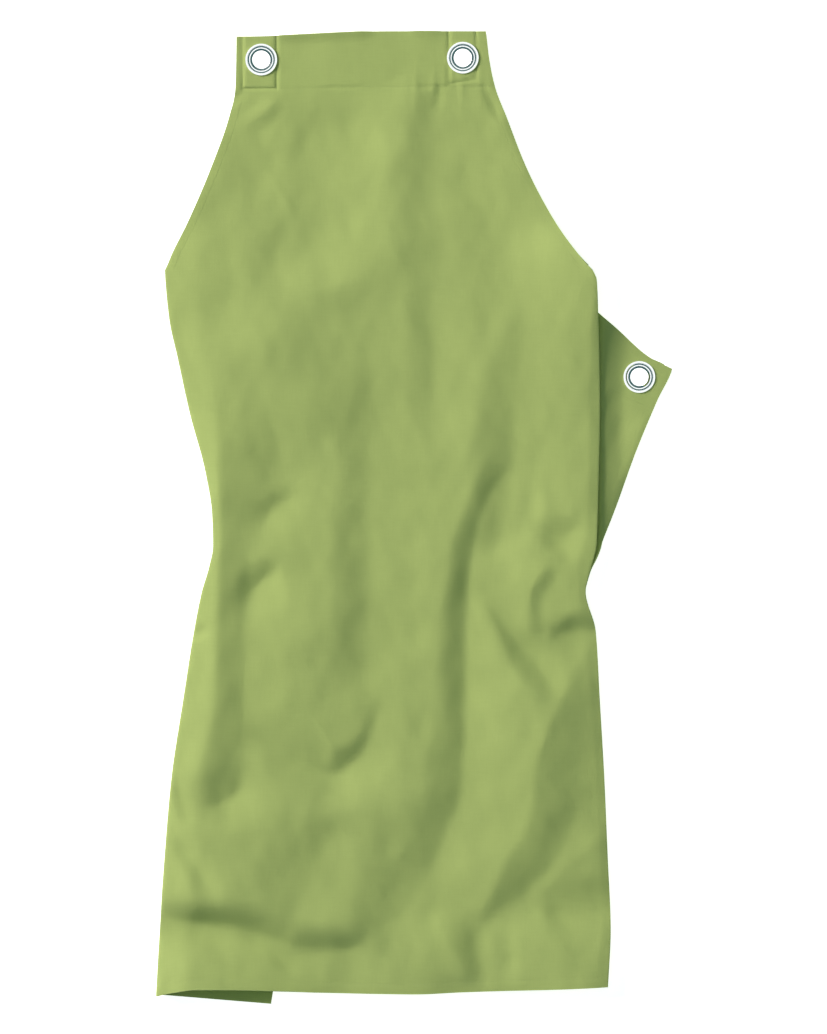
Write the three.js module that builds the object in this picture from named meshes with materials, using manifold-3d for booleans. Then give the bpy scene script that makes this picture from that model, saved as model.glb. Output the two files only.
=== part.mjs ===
// Bib apron of plain-woven cloth, lying on a table with both of its sides folded under.
// Millimetres, +Z up, the bib towards +Y, the origin on the table under the middle of the outline.
// The cloth is drawn flat, as it was cut, and then laid: each point of the cut has a place across
// the apron (negative to the left) and a level along it (high at the bib), and is carried to where it lies.
import * as THREE from 'three';
import Module from 'manifold-3d';

const wasm = await Module();
wasm.setup();

// Cloth
const WALL = 1.0; // one layer of cloth
const SEAM_GAP = 0.3; // air between two sewn layers
const HEM_WIDTH = 8; // narrow hems at the armholes and sides
const TOP_LEVEL = 425.3; // top edge of the bib
const BAND_LEVEL = 376; // lower edge of the wide turned band along the top
const TOP_SLOPE = { fall: 5, from: -20, to: -150, below: 340 }; // the top edge falls towards its left end
const HEM_SAG = { fall: 2.5, centre: 10, half: 150 }; // the bottom edge sags in the middle,
const HEM_LEFT = { fall: 4, from: -180, to: -224 }; // falls at its left end
const HEM_RIGHT = { rise: 6, from: 90, to: 170 }; // and rises at its right end
const HEM_SHAPE_LEVEL = -340; // level above which the skirt takes no part in that
const WAIST_LEVEL = 172; // where the armholes end in the waist corners
const FLAP_LEVEL = 200; // where the folded sides begin
const HEM_LINE_LEVEL = -402; // upper edge of the bottom hem
const BOTTOM_LEVEL = -417; // lower edge of the skirt

// Side folds
const LEFT_RADIUS = 8; // roundness of the left fold
const RIGHT_RADIUS = 8; // roundness of the right fold
const INNER_RADIUS = 2.5; // roundness of the second, hidden fold on the right
const FLAP_HEIGHT = 2.3; // outer face of the right flap over the table, on its hem
const LEFT_LIFT = 2.5; // the waist corners stand this much higher on their eyelets
const RIGHT_LIFT = 1.2;
const LIFT_FROM = 40; // level where that lift starts
const LIFT_FULL = 110; // level from which the lift is whole
const CROWN_WIDTH = 26; // from a side fold to the crown beside it
const CROWN_FALL = 110; // from the crown to the middle of the front
const LEFT_DROP = 17; // droop of the left armhole's end, over LEFT_DROP_RUN
const LEFT_DROP_RUN = 115;
const RIGHT_DROP = 4; // droop of the right armhole's end, over RIGHT_DROP_RUN
const RIGHT_DROP_RUN = 22;
const BIB_CLEAR = 2.5; // least height of the bib's outer face over the table
const FRONT_CLEAR = 5; // least height of the front over the left flap
const FRONT_CLEAR_LEVEL = 300; // level where the first of these begins to change to the second
const STACK_CLEAR = 11.5; // least height of the front over the folded layers on the right
const STACK_MARGIN = 30; // that height begins this far from those layers
const CLEAR_SOFTNESS = 2.5; // how gently the front comes to rest on what is below it

// Eyelets
const EYELET_SIDES = 20;
const HOLE_RADIUS = 7.9; // clear hole
const BARREL_RADIUS = 8.7; // outside of the barrel
const CLOTH_HOLE_RADIUS = 9.0; // hole in the cloth round the barrel
const LIP_RADIUS = 12.2; // rolled lip on the outside of the apron
const WASHER_RADIUS = 14.0; // washer and back flange
const FLANGE_WALL = 0.7;
const FLANGE_BEVEL = 0.6;
const LIP_HEIGHT = 2.3; // from the cloth to the top of the lip
const LIP_UNDERSIDE = 1.3;
const LIP_ROUND = 0.4; // roundness of the lip's outer edge
const LIP_CREST = [10.7, 9.3]; // radii between which the lip is highest
const LIP_MOUTH = 1.2; // height where the lip runs into the hole
const RIM_HEIGHT = 1.1; // raised rim of the washer
const WASHER_HEIGHT = 0.9; // washer under the lip
const PATCH_SIZE = 38; // square sewn behind each eyelet
const PATCH_CORNER = 3; // cut off its corners
const PIN_REACH = 4; // the holes in the cloth reach this far above and below its outer face

const CLOTH_COLOUR = 0x93ab54;
const INSIDE_COLOUR = 0x86a04c;
const METAL_COLOUR = 0xd9dbdc;

// The cut above the waist: level along the apron, left and right edge of the cloth
const CUT = [
  { level: 425.3, left: -155, right: 63.5 },
  { level: 400, left: -155.3, right: 65.5 },
  { level: 376, left: -155.5, right: 69.5 },
  { level: 350, left: -161.5, right: 81 },
  { level: 305, left: -177, right: 98.5 },
  { level: 258, left: -197.5, right: 124 },
  { level: 232, left: -210.5, right: 142 },
  { level: 216, left: -217.5, right: 156 },
  { level: 200, left: -230, right: 209 },
  { level: 186, left: -250, right: 254 },
];

// The side folds as they lie: level, place of the left fold, of the right fold and of the hidden second one
const FOLD_LINES = [
  { level: 216, left: -217.5, right: 157, second: 136 },
  { level: 172, left: -214, right: 162, second: 127 },
  { level: 140, left: -208, right: 163, second: 121 },
  { level: 90, left: -196, right: 163, second: 111 },
  { level: 40, left: -182, right: 162, second: 101.5 },
  { level: 2, left: -176, right: 161, second: 94 },
  { level: -25, left: -175.2, right: 160, second: 90 },
  { level: -45, left: -179, right: 155, second: 88 },
  { level: -65, left: -185, right: 150.5, second: 86 },
  { level: -100, left: -192, right: 159.5, second: 84 },
  { level: -160, left: -201.5, right: 163, second: 81 },
  { level: -230, left: -212, right: 167, second: 79 },
  { level: -300, left: -218, right: 170, second: 77 },
  { level: -360, left: -222, right: 172.5, second: 76 },
  { level: -417, left: -225, right: 170, second: 75 },
];

// The cloth under the front: level, its length beyond the left and the second fold, and how far
// it is turned there, in degrees
const FLAPS = [
  { level: 216, leftRun: 175, flapRun: 109, leftTurn: 12, flapTurn: 22.3 },
  { level: 172, leftRun: 173, flapRun: 108, leftTurn: 11, flapTurn: 22.3 },
  { level: 140, leftRun: 162, flapRun: 100, leftTurn: 10, flapTurn: 22.3 },
  { level: 90, leftRun: 142, flapRun: 88.5, leftTurn: 8, flapTurn: 22.3 },
  { level: 40, leftRun: 121, flapRun: 78, leftTurn: 6, flapTurn: 22.3 },
  { level: 2, leftRun: 109, flapRun: 71, leftTurn: 4, flapTurn: 22 },
  { level: -25, leftRun: 104, flapRun: 67.5, leftTurn: 3, flapTurn: 20 },
  { level: -45, leftRun: 104.5, flapRun: 65.5, leftTurn: 2, flapTurn: 19 },
  { level: -65, leftRun: 107, flapRun: 63, leftTurn: 1, flapTurn: 17 },
  { level: -100, leftRun: 109, flapRun: 59, leftTurn: 0, flapTurn: 15 },
  { level: -160, leftRun: 109, flapRun: 51, leftTurn: -1, flapTurn: 11 },
  { level: -230, leftRun: 109, flapRun: 42, leftTurn: -2, flapTurn: 7 },
  { level: -300, leftRun: 104, flapRun: 34, leftTurn: -2.5, flapTurn: 4 },
  { level: -360, leftRun: 99, flapRun: 29, leftTurn: -3, flapTurn: 2 },
  { level: -417, leftRun: 92.5, flapRun: 27, leftTurn: -2.7, flapTurn: 0 },
];

// Height of the outer face along the armholes, down to where the side folds begin
const ARMHOLE_HEIGHTS = [
  { level: 425.3, left: 5, right: 5 },
  { level: 355, left: 5, right: 5 },
  { level: 310, left: 3.4, right: 3.4 },
  { level: 258, left: 3.2, right: 4.5 },
  { level: 232, left: 5, right: 8.5 },
  { level: 216, left: 9, right: 14.5 },
  { level: 200, left: 10.5, right: 16.5 },
];

// Height of the outer face of the front: crown beside the left edge, middle, crown beside the right edge
const SECTIONS = [
  { level: 425.3, leftCrown: 5, middle: 5, rightCrown: 5 },
  { level: 355, leftCrown: 5, middle: 5, rightCrown: 5 },
  { level: 310, leftCrown: 4.5, middle: 5.5, rightCrown: 5 },
  { level: 258, leftCrown: 7.5, middle: 7.5, rightCrown: 8.5 },
  { level: 232, leftCrown: 11, middle: 9, rightCrown: 14 },
  { level: 200, leftCrown: 18, middle: 12, rightCrown: 24 },
  { level: 100, leftCrown: 18, middle: 13.5, rightCrown: 24 },
  { level: 0, leftCrown: 16, middle: 14, rightCrown: 23 },
  { level: -330, leftCrown: 15, middle: 14, rightCrown: 22 },
  { level: -417, leftCrown: 13, middle: 6, rightCrown: 19 },
];

// Main folds of the front: a crest (rise above 0) or a valley (below 0) along a path, and how far it
// spreads to the left and to the right of the way it runs
const FOLDS = {
  bibCrest: [
    { x: 8, y: 20, rise: 0, left: 34, right: 13 },
    { x: 7, y: 90, rise: 4, left: 34, right: 13 },
    { x: 4, y: 160, rise: 5, left: 34, right: 13 },
    { x: -10, y: 230, rise: 4, left: 34, right: 13 },
    { x: -14, y: 300, rise: 2, left: 30, right: 13 },
    { x: -8, y: 355, rise: 0, left: 26, right: 13 },
  ],
  mainValley: [
    { x: -10, y: -330, rise: -3, left: 40, right: 40 },
    { x: 22, y: -265, rise: -7, left: 30, right: 36 },
    { x: 38, y: -140, rise: -8, left: 20, right: 32 },
    { x: 41, y: -80, rise: -9, left: 20, right: 32 },
    { x: 47, y: -30, rise: -10, left: 20, right: 34 },
    { x: 57, y: 20, rise: -9, left: 24, right: 30 },
    { x: 80, y: 130, rise: -4, left: 26, right: 16 },
    { x: 96, y: 188, rise: 0, left: 15, right: 10 },
  ],
  leftValley: [
    { x: -150, y: -262, rise: 0, left: 22, right: 34 },
    { x: -150, y: -225, rise: -6, left: 24, right: 34 },
    { x: -148, y: -110, rise: -6, left: 22, right: 34 },
    { x: -142, y: -10, rise: -6, left: 26, right: 36 },
    { x: -142, y: 40, rise: -5, left: 28, right: 36 },
    { x: -150, y: 85, rise: 0, left: 24, right: 30 },
  ],
  middleValley: [
    { x: -72, y: -172, rise: 0, left: 20, right: 24 },
    { x: -58, y: -90, rise: -4, left: 20, right: 24 },
    { x: -58, y: 0, rise: -4, left: 20, right: 24 },
    { x: -41, y: 94, rise: 0, left: 20, right: 24 },
  ],
  drapedCurve: [
    { x: -104, y: -178, rise: 0, left: 18, right: 26 },
    { x: -84, y: -203, rise: -4, left: 18, right: 28 },
    { x: -66, y: -210, rise: -5, left: 18, right: 28 },
    { x: -48, y: -194, rise: -4, left: 18, right: 26 },
    { x: -28, y: -158, rise: 0, left: 18, right: 24 },
  ],
  hemFold: [
    { x: -226, y: -345, rise: -5, left: 20, right: 26 },
    { x: -190, y: -350, rise: -8, left: 20, right: 28 },
    { x: -130, y: -356, rise: -8, left: 20, right: 28 },
    { x: -96, y: -370, rise: -4, left: 22, right: 26 },
    { x: -40, y: -367, rise: 0, left: 24, right: 24 },
  ],
  waistNotch: [
    { x: 98, y: -80, rise: 0, left: 18, right: 18 },
    { x: 128, y: -95, rise: -6, left: 18, right: 18 },
    { x: 162, y: -93, rise: -7, left: 20, right: 20 },
  ],
  skirtCrest: [
    { x: 52, y: -372, rise: 0, left: 44, right: 34 },
    { x: 84, y: -309, rise: 5, left: 44, right: 34 },
    { x: 104, y: -249, rise: 6, left: 44, right: 36 },
    { x: 126, y: -178, rise: 5, left: 40, right: 34 },
    { x: 158, y: -112, rise: 0, left: 30, right: 24 },
  ],
};

// Levels of the cloth's rows of facets, from the bib's top to the bottom edge
const ROW_LEVELS = [
  TOP_LEVEL, 400, BAND_LEVEL, 372, 350, 328, 305, 282, 258, 236, 216, FLAP_LEVEL, 186, WAIST_LEVEL, 154, 134,
  112, 90, 68, 46, 24, 2, -20, -42, -62, -80, -98, -118, -140, -162, -184, -206, -228, -250, -272, -294, -316,
  -334, -350, -366, -382, -396, HEM_LINE_LEVEL, BOTTOM_LEVEL,
];
const FRONT_COLUMNS = 24; // facets across the front between the two hem strips
const LEFT_SHARES = [0.12, 0.37, 0.68, 1]; // columns of the left flap, from its fold to its hem
const RIGHT_SHARES = [0.3, 0.78, 1]; // columns of the right flap
const LEFT_FAN = 4; // columns that the armhole's slant takes in on the left flap
const RIGHT_FAN = 9; // and on the right flap
const EDGE_MERGE = 6; // a column closer than this to the cut edge becomes the edge

const RADIANS = Math.PI / 180;
const LEFT_BEND = (Math.PI / 2) * LEFT_RADIUS; // cloth in the lower half of each fold
const RIGHT_BEND = (Math.PI / 2) * RIGHT_RADIUS;
const INNER_BEND = Math.PI * INNER_RADIUS;

function smoothStep(from, to, value) {
  const t = THREE.MathUtils.clamp((value - from) / (to - from), 0, 1);
  return t * t * (3 - 2 * t);
}

// One column of a table at a level, on a smooth curve that never overshoots its rows
function readTable(table, name, level) {
  const top = table[0].level;
  const bottom = table[table.length - 1].level;
  const at = THREE.MathUtils.clamp(level, bottom, top);
  let i = 0;
  while (i < table.length - 2 && table[i + 1].level > at) i += 1;
  const slope = (k) => (table[k + 1][name] - table[k][name]) / (table[k].level - table[k + 1].level);
  const tangent = (k) => {
    if (k === 0) return slope(0);
    if (k === table.length - 1) return slope(k - 1);
    const before = slope(k - 1);
    const after = slope(k);
    return before * after > 0 ? (2 * before * after) / (before + after) : 0;
  };
  const run = table[i].level - table[i + 1].level;
  const t = (table[i].level - at) / run;
  const a = table[i][name] * (1 + 2 * t) * (1 - t) ** 2 + run * tangent(i) * t * (1 - t) ** 2;
  const b = table[i + 1][name] * t * t * (3 - 2 * t) + run * tangent(i + 1) * t * t * (t - 1);
  return a + b;
}

// Points along a fold's path, on a curve through its rows
function samplePath(rows, steps = 8) {
  const names = ['x', 'y', 'rise', 'left', 'right'];
  const row = (k) => rows[THREE.MathUtils.clamp(k, 0, rows.length - 1)];
  const samples = [];
  for (let i = 0; i < rows.length - 1; i += 1) {
    for (let k = 0; k < steps; k += 1) {
      const t = k / steps;
      const sample = {};
      for (const name of names) {
        const [a, b, c, d] = [row(i - 1)[name], row(i)[name], row(i + 1)[name], row(i + 2)[name]];
        const bend = (2 * a - 5 * b + 4 * c - d) * t + (3 * b - a - 3 * c + d) * t * t;
        sample[name] = b + 0.5 * t * (c - a + bend);
      }
      samples.push(sample);
    }
  }
  samples.push(rows[rows.length - 1]);
  return samples;
}

const FOLD_PATHS = Object.values(FOLDS).map((rows) => samplePath(rows));

// Height that one fold adds at a place on the front
function foldRise(path, x, y) {
  let nearest = Infinity;
  let rise = 0;
  for (let i = 0; i < path.length - 1; i += 1) {
    const [a, b] = [path[i], path[i + 1]];
    const [dx, dy] = [b.x - a.x, b.y - a.y];
    const t = THREE.MathUtils.clamp(((x - a.x) * dx + (y - a.y) * dy) / (dx * dx + dy * dy), 0, 1);
    const [ex, ey] = [x - a.x - t * dx, y - a.y - t * dy];
    const distance = Math.hypot(ex, ey);
    if (distance >= nearest) continue;
    nearest = distance;
    const side = dx * ey - dy * ex > 0 ? 'left' : 'right';
    const spread = THREE.MathUtils.lerp(a[side], b[side], t);
    const u = Math.min(distance / spread, 1);
    rise = THREE.MathUtils.lerp(a.rise, b.rise, t) * (1 - u * u) ** 2;
  }
  return rise;
}

// Height of the outer face of the layer that lies on the table, and of the two above it on the right
const leftLayerHeight = (level) => LEFT_LIFT * smoothStep(LIFT_FROM, LIFT_FULL, level);
const flapHeight = (level) => FLAP_HEIGHT + RIGHT_LIFT * smoothStep(LIFT_FROM, LIFT_FULL, level);
const middleLayerHeight = (level) => flapHeight(level) + 2 * INNER_RADIUS;

// Edges of the front layer at a level: the armholes, and below them the side folds
function frontEdges(level) {
  const table = level > FOLD_LINES[0].level ? CUT : FOLD_LINES;
  return { left: readTable(table, 'left', level), right: readTable(table, 'right', level) };
}

// Cloth between the right fold and the second fold, and beyond each side fold in all
const secondFold = (level) => readTable(FOLD_LINES, 'second', level);
const middleRun = (level) => frontEdges(level).right - RIGHT_RADIUS - secondFold(level);
const leftReach = (level) => LEFT_BEND + readTable(FLAPS, 'leftRun', level);
const flapStart = (level) => RIGHT_BEND + middleRun(level) + INNER_BEND;
const rightReach = (level) => flapStart(level) + readTable(FLAPS, 'flapRun', level);

// Height of the outer face of the front layer
function frontHeight(x, y) {
  const read = (name) => readTable(SECTIONS, name, y);
  const { left: leftLine, right: rightLine } = frontEdges(y);
  const fromLeft = Math.max(x - leftLine, 0);
  const fromRight = Math.max(rightLine - x, 0);
  const round = (distance) => Math.sqrt(1 - (1 - Math.min(distance / CROWN_WIDTH, 1)) ** 2);
  const folded = y <= FLAP_LEVEL;
  const leftEdge = folded ? leftLayerHeight(y) + LEFT_RADIUS : readTable(ARMHOLE_HEIGHTS, 'left', y);
  const rightEdge = folded ? middleLayerHeight(y) + RIGHT_RADIUS : readTable(ARMHOLE_HEIGHTS, 'right', y);
  const left = leftEdge + (read('leftCrown') - leftEdge) * round(fromLeft);
  const right = rightEdge + (read('rightCrown') - rightEdge) * round(fromRight);
  const middle = read('middle');
  const leftShare = 1 - smoothStep(CROWN_WIDTH, CROWN_WIDTH + CROWN_FALL, fromLeft);
  const rightShare = 1 - smoothStep(CROWN_WIDTH, CROWN_WIDTH + CROWN_FALL, fromRight);
  const base = middle + (left - middle) * leftShare + (right - middle) * rightShare;
  const inside = smoothStep(0, CROWN_WIDTH, Math.min(fromLeft, fromRight));
  const folds = FOLD_PATHS.reduce((sum, path) => sum + foldRise(path, x, y), 0);
  const beside = smoothStep(-STACK_MARGIN, 0, x - secondFold(y));
  const overStack = beside * smoothStep(FLAP_LEVEL + STACK_MARGIN, FLAP_LEVEL, y);
  const overFlap = smoothStep(FRONT_CLEAR_LEVEL, FLAP_LEVEL, y);
  const overTable = THREE.MathUtils.lerp(BIB_CLEAR, FRONT_CLEAR, overFlap);
  const least = THREE.MathUtils.lerp(overTable, STACK_CLEAR, overStack);
  return restOn(base + folds * inside, least);
}

// A height that stays above another, and comes to rest on it softly
function restOn(height, least) {
  const near = Math.max(CLEAR_SOFTNESS - Math.abs(height - least), 0) / CLEAR_SOFTNESS;
  return Math.max(height, least) + near * near * CLEAR_SOFTNESS * 0.25;
}

// How far the top and the bottom edge leave their levels
function edgeShift(x, level) {
  const nearTop = smoothStep(TOP_SLOPE.below, TOP_LEVEL, level);
  const nearHem = smoothStep(HEM_SHAPE_LEVEL, BOTTOM_LEVEL, level);
  const slope = -TOP_SLOPE.fall * smoothStep(TOP_SLOPE.from, TOP_SLOPE.to, x);
  const fromCentre = THREE.MathUtils.clamp((x - HEM_SAG.centre) / HEM_SAG.half, -1, 1);
  const middle = -HEM_SAG.fall * Math.cos((fromCentre * Math.PI) / 2);
  const left = -HEM_LEFT.fall * smoothStep(HEM_LEFT.from, HEM_LEFT.to, x);
  const right = HEM_RIGHT.rise * smoothStep(HEM_RIGHT.from, HEM_RIGHT.to, x);
  return nearTop * slope + nearHem * (middle + left + right);
}

// Where a point of the cut lies: across the apron and along it, outer face of the cloth
function lay(across, along) {
  const { left, right } = frontEdges(along);
  if (along <= FLAP_LEVEL && across < left) return layLeft(left - across, left, along);
  if (along <= FLAP_LEVEL && across > right) return layRight(across - right, right, along);
  return new THREE.Vector3(across, along + edgeShift(across, along), frontHeight(across, along));
}

// Left side: round the fold, then back under the front
function layLeft(beyond, line, along) {
  const turn = Math.min(beyond / LEFT_RADIUS, Math.PI / 2);
  const run = Math.max(beyond - LEFT_BEND, 0);
  const angle = readTable(FLAPS, 'leftTurn', along) * RADIANS;
  const height = leftLayerHeight(along) + LEFT_RADIUS * (1 - Math.sin(turn));
  const x = line - LEFT_RADIUS * (Math.cos(turn) - 1) + run * Math.cos(angle);
  return new THREE.Vector3(x, along + edgeShift(line, along) + run * Math.sin(angle), height);
}

// Right side: round the first fold, left to the second fold, round it, and out to the right again
function layRight(beyond, line, along) {
  const y = along + edgeShift(line, along);
  const height = middleLayerHeight(along);
  const past = beyond - RIGHT_BEND - middleRun(along);
  if (past <= 0) {
    const turn = Math.min(beyond / RIGHT_RADIUS, Math.PI / 2);
    const run = Math.max(beyond - RIGHT_BEND, 0);
    const x = line + RIGHT_RADIUS * (Math.cos(turn) - 1) - run;
    return new THREE.Vector3(x, y, height + RIGHT_RADIUS * (1 - Math.sin(turn)));
  }
  const turn = Math.min(past / INNER_RADIUS, Math.PI);
  const run = Math.max(past - INNER_BEND, 0);
  const angle = readTable(FLAPS, 'flapTurn', along) * RADIANS;
  const x = secondFold(along) - INNER_RADIUS * Math.sin(turn) + run * Math.cos(angle);
  return new THREE.Vector3(x, y - run * Math.sin(angle), height - INNER_RADIUS * (1 - Math.cos(turn)));
}

// The armholes droop a little where they run out into the waist corners
function droop(across, level) {
  const share = smoothStep(BOTTOM_LEVEL, WAIST_LEVEL, level);
  const { left, right } = frontEdges(WAIST_LEVEL);
  const leftEnd = left - leftReach(WAIST_LEVEL);
  const rightEnd = right + rightReach(WAIST_LEVEL);
  const leftShare = 1 - THREE.MathUtils.clamp((across - leftEnd) / LEFT_DROP_RUN, 0, 1) ** 2;
  const rightShare = 1 - THREE.MathUtils.clamp((rightEnd - across) / RIGHT_DROP_RUN, 0, 1) ** 2;
  return share * (LEFT_DROP * leftShare + RIGHT_DROP * rightShare);
}

// Places across the apron of one row's columns, in three groups from left to right; a row above
// FLAP_LEVEL has no flaps, and one on the slant of the armholes ends at the cut
function rowPlaces(level) {
  const { left, right } = frontEdges(level);
  const width = right - left - 2 * HEM_WIDTH;
  const front = [left];
  for (let i = 0; i <= FRONT_COLUMNS; i += 1) front.push(left + HEM_WIDTH + (width * i) / FRONT_COLUMNS);
  front.push(right);

  const full = Math.min(level, WAIST_LEVEL);
  const leftFlat = leftReach(full) - LEFT_BEND - HEM_WIDTH;
  const leftSteps = [LEFT_BEND / 2, LEFT_BEND];
  for (const share of LEFT_SHARES) leftSteps.push(LEFT_BEND + share * leftFlat);
  leftSteps.push(leftReach(full));

  const middleEnd = RIGHT_BEND + middleRun(level);
  const rightFlat = readTable(FLAPS, 'flapRun', full) - HEM_WIDTH;
  const rightSteps = [RIGHT_BEND / 2, RIGHT_BEND, (RIGHT_BEND + middleEnd) / 2, middleEnd];
  for (const share of [1 / 3, 2 / 3, 1]) rightSteps.push(middleEnd + share * INNER_BEND);
  for (const share of RIGHT_SHARES) rightSteps.push(flapStart(level) + share * rightFlat);
  rightSteps.push(flapStart(level) + rightFlat + HEM_WIDTH);

  const hasFlaps = level <= FLAP_LEVEL;
  const onSlant = level > WAIST_LEVEL;
  const clip = (steps, reach) => steps.map((step) => (onSlant && step > reach - EDGE_MERGE ? reach : step));
  const leftBeyond = clip(leftSteps, left - readTable(CUT, 'left', level)).reverse();
  const rightBeyond = clip(rightSteps, readTable(CUT, 'right', level) - right);
  return [
    ...leftBeyond.map((step) => (hasFlaps ? left - step : null)),
    ...front,
    ...rightBeyond.map((step) => (hasFlaps ? right + step : null)),
  ];
}

// The laid cloth as one net of points and triangles, with the grid it was made from
function buildNet() {
  const points = [];
  const grid = [];
  for (const level of ROW_LEVELS) {
    let last = null;
    grid.push(rowPlaces(level).map((across) => {
      if (across === null) return null;
      const along = level <= WAIST_LEVEL ? level - droop(across, level) : level;
      if (across !== last) points.push(lay(across, along));
      last = across;
      return points.length - 1;
    }));
  }
  const leftCount = LEFT_SHARES.length + 3;
  const frontEnd = leftCount + FRONT_COLUMNS + 2;
  const triangles = [];
  for (let i = 0; i < grid.length - 1; i += 1) {
    for (let j = 0; j < grid[i].length - 1; j += 1) {
      const [a, b, c, d] = [grid[i][j], grid[i][j + 1], grid[i + 1][j + 1], grid[i + 1][j]];
      if ([a, b, c, d].includes(null)) continue;
      const beyondFan = leftCount - j > LEFT_FAN || j + 1 - frontEnd > RIGHT_FAN;
      if (a === b && beyondFan) continue;
      if (a !== d && d !== c && a !== c) triangles.push([a, d, c]);
      if (a !== c && c !== b && a !== b) triangles.push([a, c, b]);
    }
  }
  return { points, grid, triangles, leftCount, frontEnd, normals: pointNormals(points, triangles) };
}

function pointNormals(points, triangles) {
  const normals = points.map(() => new THREE.Vector3());
  for (const corners of triangles) {
    const [a, b, c] = corners.map((id) => points[id]);
    const face = new THREE.Vector3().subVectors(b, a).cross(new THREE.Vector3().subVectors(c, a));
    for (const id of corners) normals[id].add(face);
  }
  return normals.map((normal) => normal.normalize());
}

// Closed layer of cloth over some of the net's triangles, from one depth below the outer face to another
function layer(net, triangles, depth, wall = WALL) {
  const used = [...new Set(triangles.flat())];
  const place = new Map(used.map((id, k) => [id, k]));
  const at = (id, down) => net.points[id].clone().addScaledVector(net.normals[id], -down);
  const positions = [...used.map((id) => at(id, depth)), ...used.map((id) => at(id, depth + wall))];
  const count = used.length;
  const edges = new Set();
  const faces = [];
  for (const corners of triangles) {
    const [a, b, c] = corners.map((id) => place.get(id));
    faces.push([a, b, c], [count + a, count + c, count + b]);
    for (const [p, q] of [[a, b], [b, c], [c, a]]) edges.add(p + '_' + q);
  }
  for (const edge of edges) {
    const [p, q] = edge.split('_').map(Number);
    if (edges.has(q + '_' + p)) continue;
    faces.push([q, p, count + p], [q, count + p, count + q]);
  }
  return toGeometry(positions, faces);
}

function toGeometry(positions, faces) {
  const geometry = new THREE.BufferGeometry();
  const numbers = positions.flatMap((point) => [point.x, point.y, point.z]);
  geometry.setAttribute('position', new THREE.Float32BufferAttribute(numbers, 3));
  geometry.setIndex(faces.flat());
  return geometry;
}

// The net's triangles between some rows and columns of its grid
function stretch(net, rows, columns) {
  const ids = new Set();
  for (let i = rows[0]; i <= rows[1]; i += 1) {
    for (let j = columns[0]; j <= columns[1]; j += 1) ids.add(net.grid[i][j]);
  }
  return net.triangles.filter((corners) => corners.every((id) => ids.has(id)));
}

function toSolid(geometry) {
  const vertProperties = new Float32Array(geometry.attributes.position.array);
  const triVerts = new Uint32Array(geometry.index.array);
  return new wasm.Manifold(new wasm.Mesh({ numProp: 3, vertProperties, triVerts }));
}

function fromSolid(solid) {
  const mesh = solid.getMesh();
  const geometry = new THREE.BufferGeometry();
  geometry.setAttribute('position', new THREE.BufferAttribute(new Float32Array(mesh.vertProperties), 3));
  geometry.setIndex(new THREE.BufferAttribute(new Uint32Array(mesh.triVerts), 1));
  return geometry;
}

// Upright round pin through every layer at an eyelet, to cut the cloth with
function holePin(place) {
  const radius = CLOTH_HOLE_RADIUS;
  const profile = [[0, -PIN_REACH], [radius, -PIN_REACH], [radius, PIN_REACH], [0, PIN_REACH]];
  const pin = turned(profile, EYELET_SIDES);
  pin.translate(place.x, place.y, place.z);
  return toSolid(pin);
}

// Closed solid turned about Z from a profile of radius and height, given anticlockwise
function turned(profile, sides) {
  const positions = [];
  const faces = [];
  const rings = profile.map(([radius, height]) => {
    const count = radius === 0 ? 1 : sides;
    const ring = [];
    for (let k = 0; k < count; k += 1) {
      const angle = (2 * Math.PI * k) / sides;
      positions.push(new THREE.Vector3(radius * Math.cos(angle), radius * Math.sin(angle), height));
      ring.push(positions.length - 1);
    }
    return (k) => ring[k % count];
  });
  const closed = profile[0][0] === 0 ? rings.length - 1 : rings.length;
  for (let i = 0; i < closed; i += 1) {
    const [from, to] = [rings[i], rings[(i + 1) % rings.length]];
    for (let k = 0; k < sides; k += 1) {
      const [a, b, c, d] = [from(k), from(k + 1), to(k + 1), to(k)];
      if (a !== b) faces.push([a, b, c]);
      if (c !== d) faces.push([a, c, d]);
    }
  }
  return toGeometry(positions, faces);
}

// Barrel with its back flange and its rolled lip; height 0 is the outer face of the cloth
function eyeletProfile(stack) {
  const back = -stack - SEAM_GAP;
  return [
    [HOLE_RADIUS, back - FLANGE_WALL],
    [WASHER_RADIUS - FLANGE_BEVEL, back - FLANGE_WALL],
    [WASHER_RADIUS, back],
    [BARREL_RADIUS, back],
    [BARREL_RADIUS, LIP_UNDERSIDE],
    [LIP_RADIUS - LIP_ROUND, LIP_UNDERSIDE],
    [LIP_RADIUS, LIP_UNDERSIDE + LIP_ROUND],
    [LIP_CREST[0], LIP_HEIGHT],
    [LIP_CREST[1], LIP_HEIGHT],
    [HOLE_RADIUS, LIP_MOUTH],
  ];
}

// Flat ring with a raised rim, under the lip
const WASHER_PROFILE = [
  [CLOTH_HOLE_RADIUS, SEAM_GAP],
  [WASHER_RADIUS, SEAM_GAP],
  [WASHER_RADIUS - SEAM_GAP, RIM_HEIGHT],
  [LIP_RADIUS + LIP_ROUND, RIM_HEIGHT],
  [LIP_RADIUS, WASHER_HEIGHT],
  [CLOTH_HOLE_RADIUS, WASHER_HEIGHT],
];

function clothMaterial(colour) {
  return new THREE.MeshStandardMaterial({ color: colour, roughness: 0.85, metalness: 0 });
}

function metalMaterial() {
  return new THREE.MeshStandardMaterial({ color: METAL_COLOUR, roughness: 0.18, metalness: 1 });
}

function named(name, geometry, material) {
  const mesh = new THREE.Mesh(geometry, material);
  mesh.name = name;
  return mesh;
}

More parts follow.
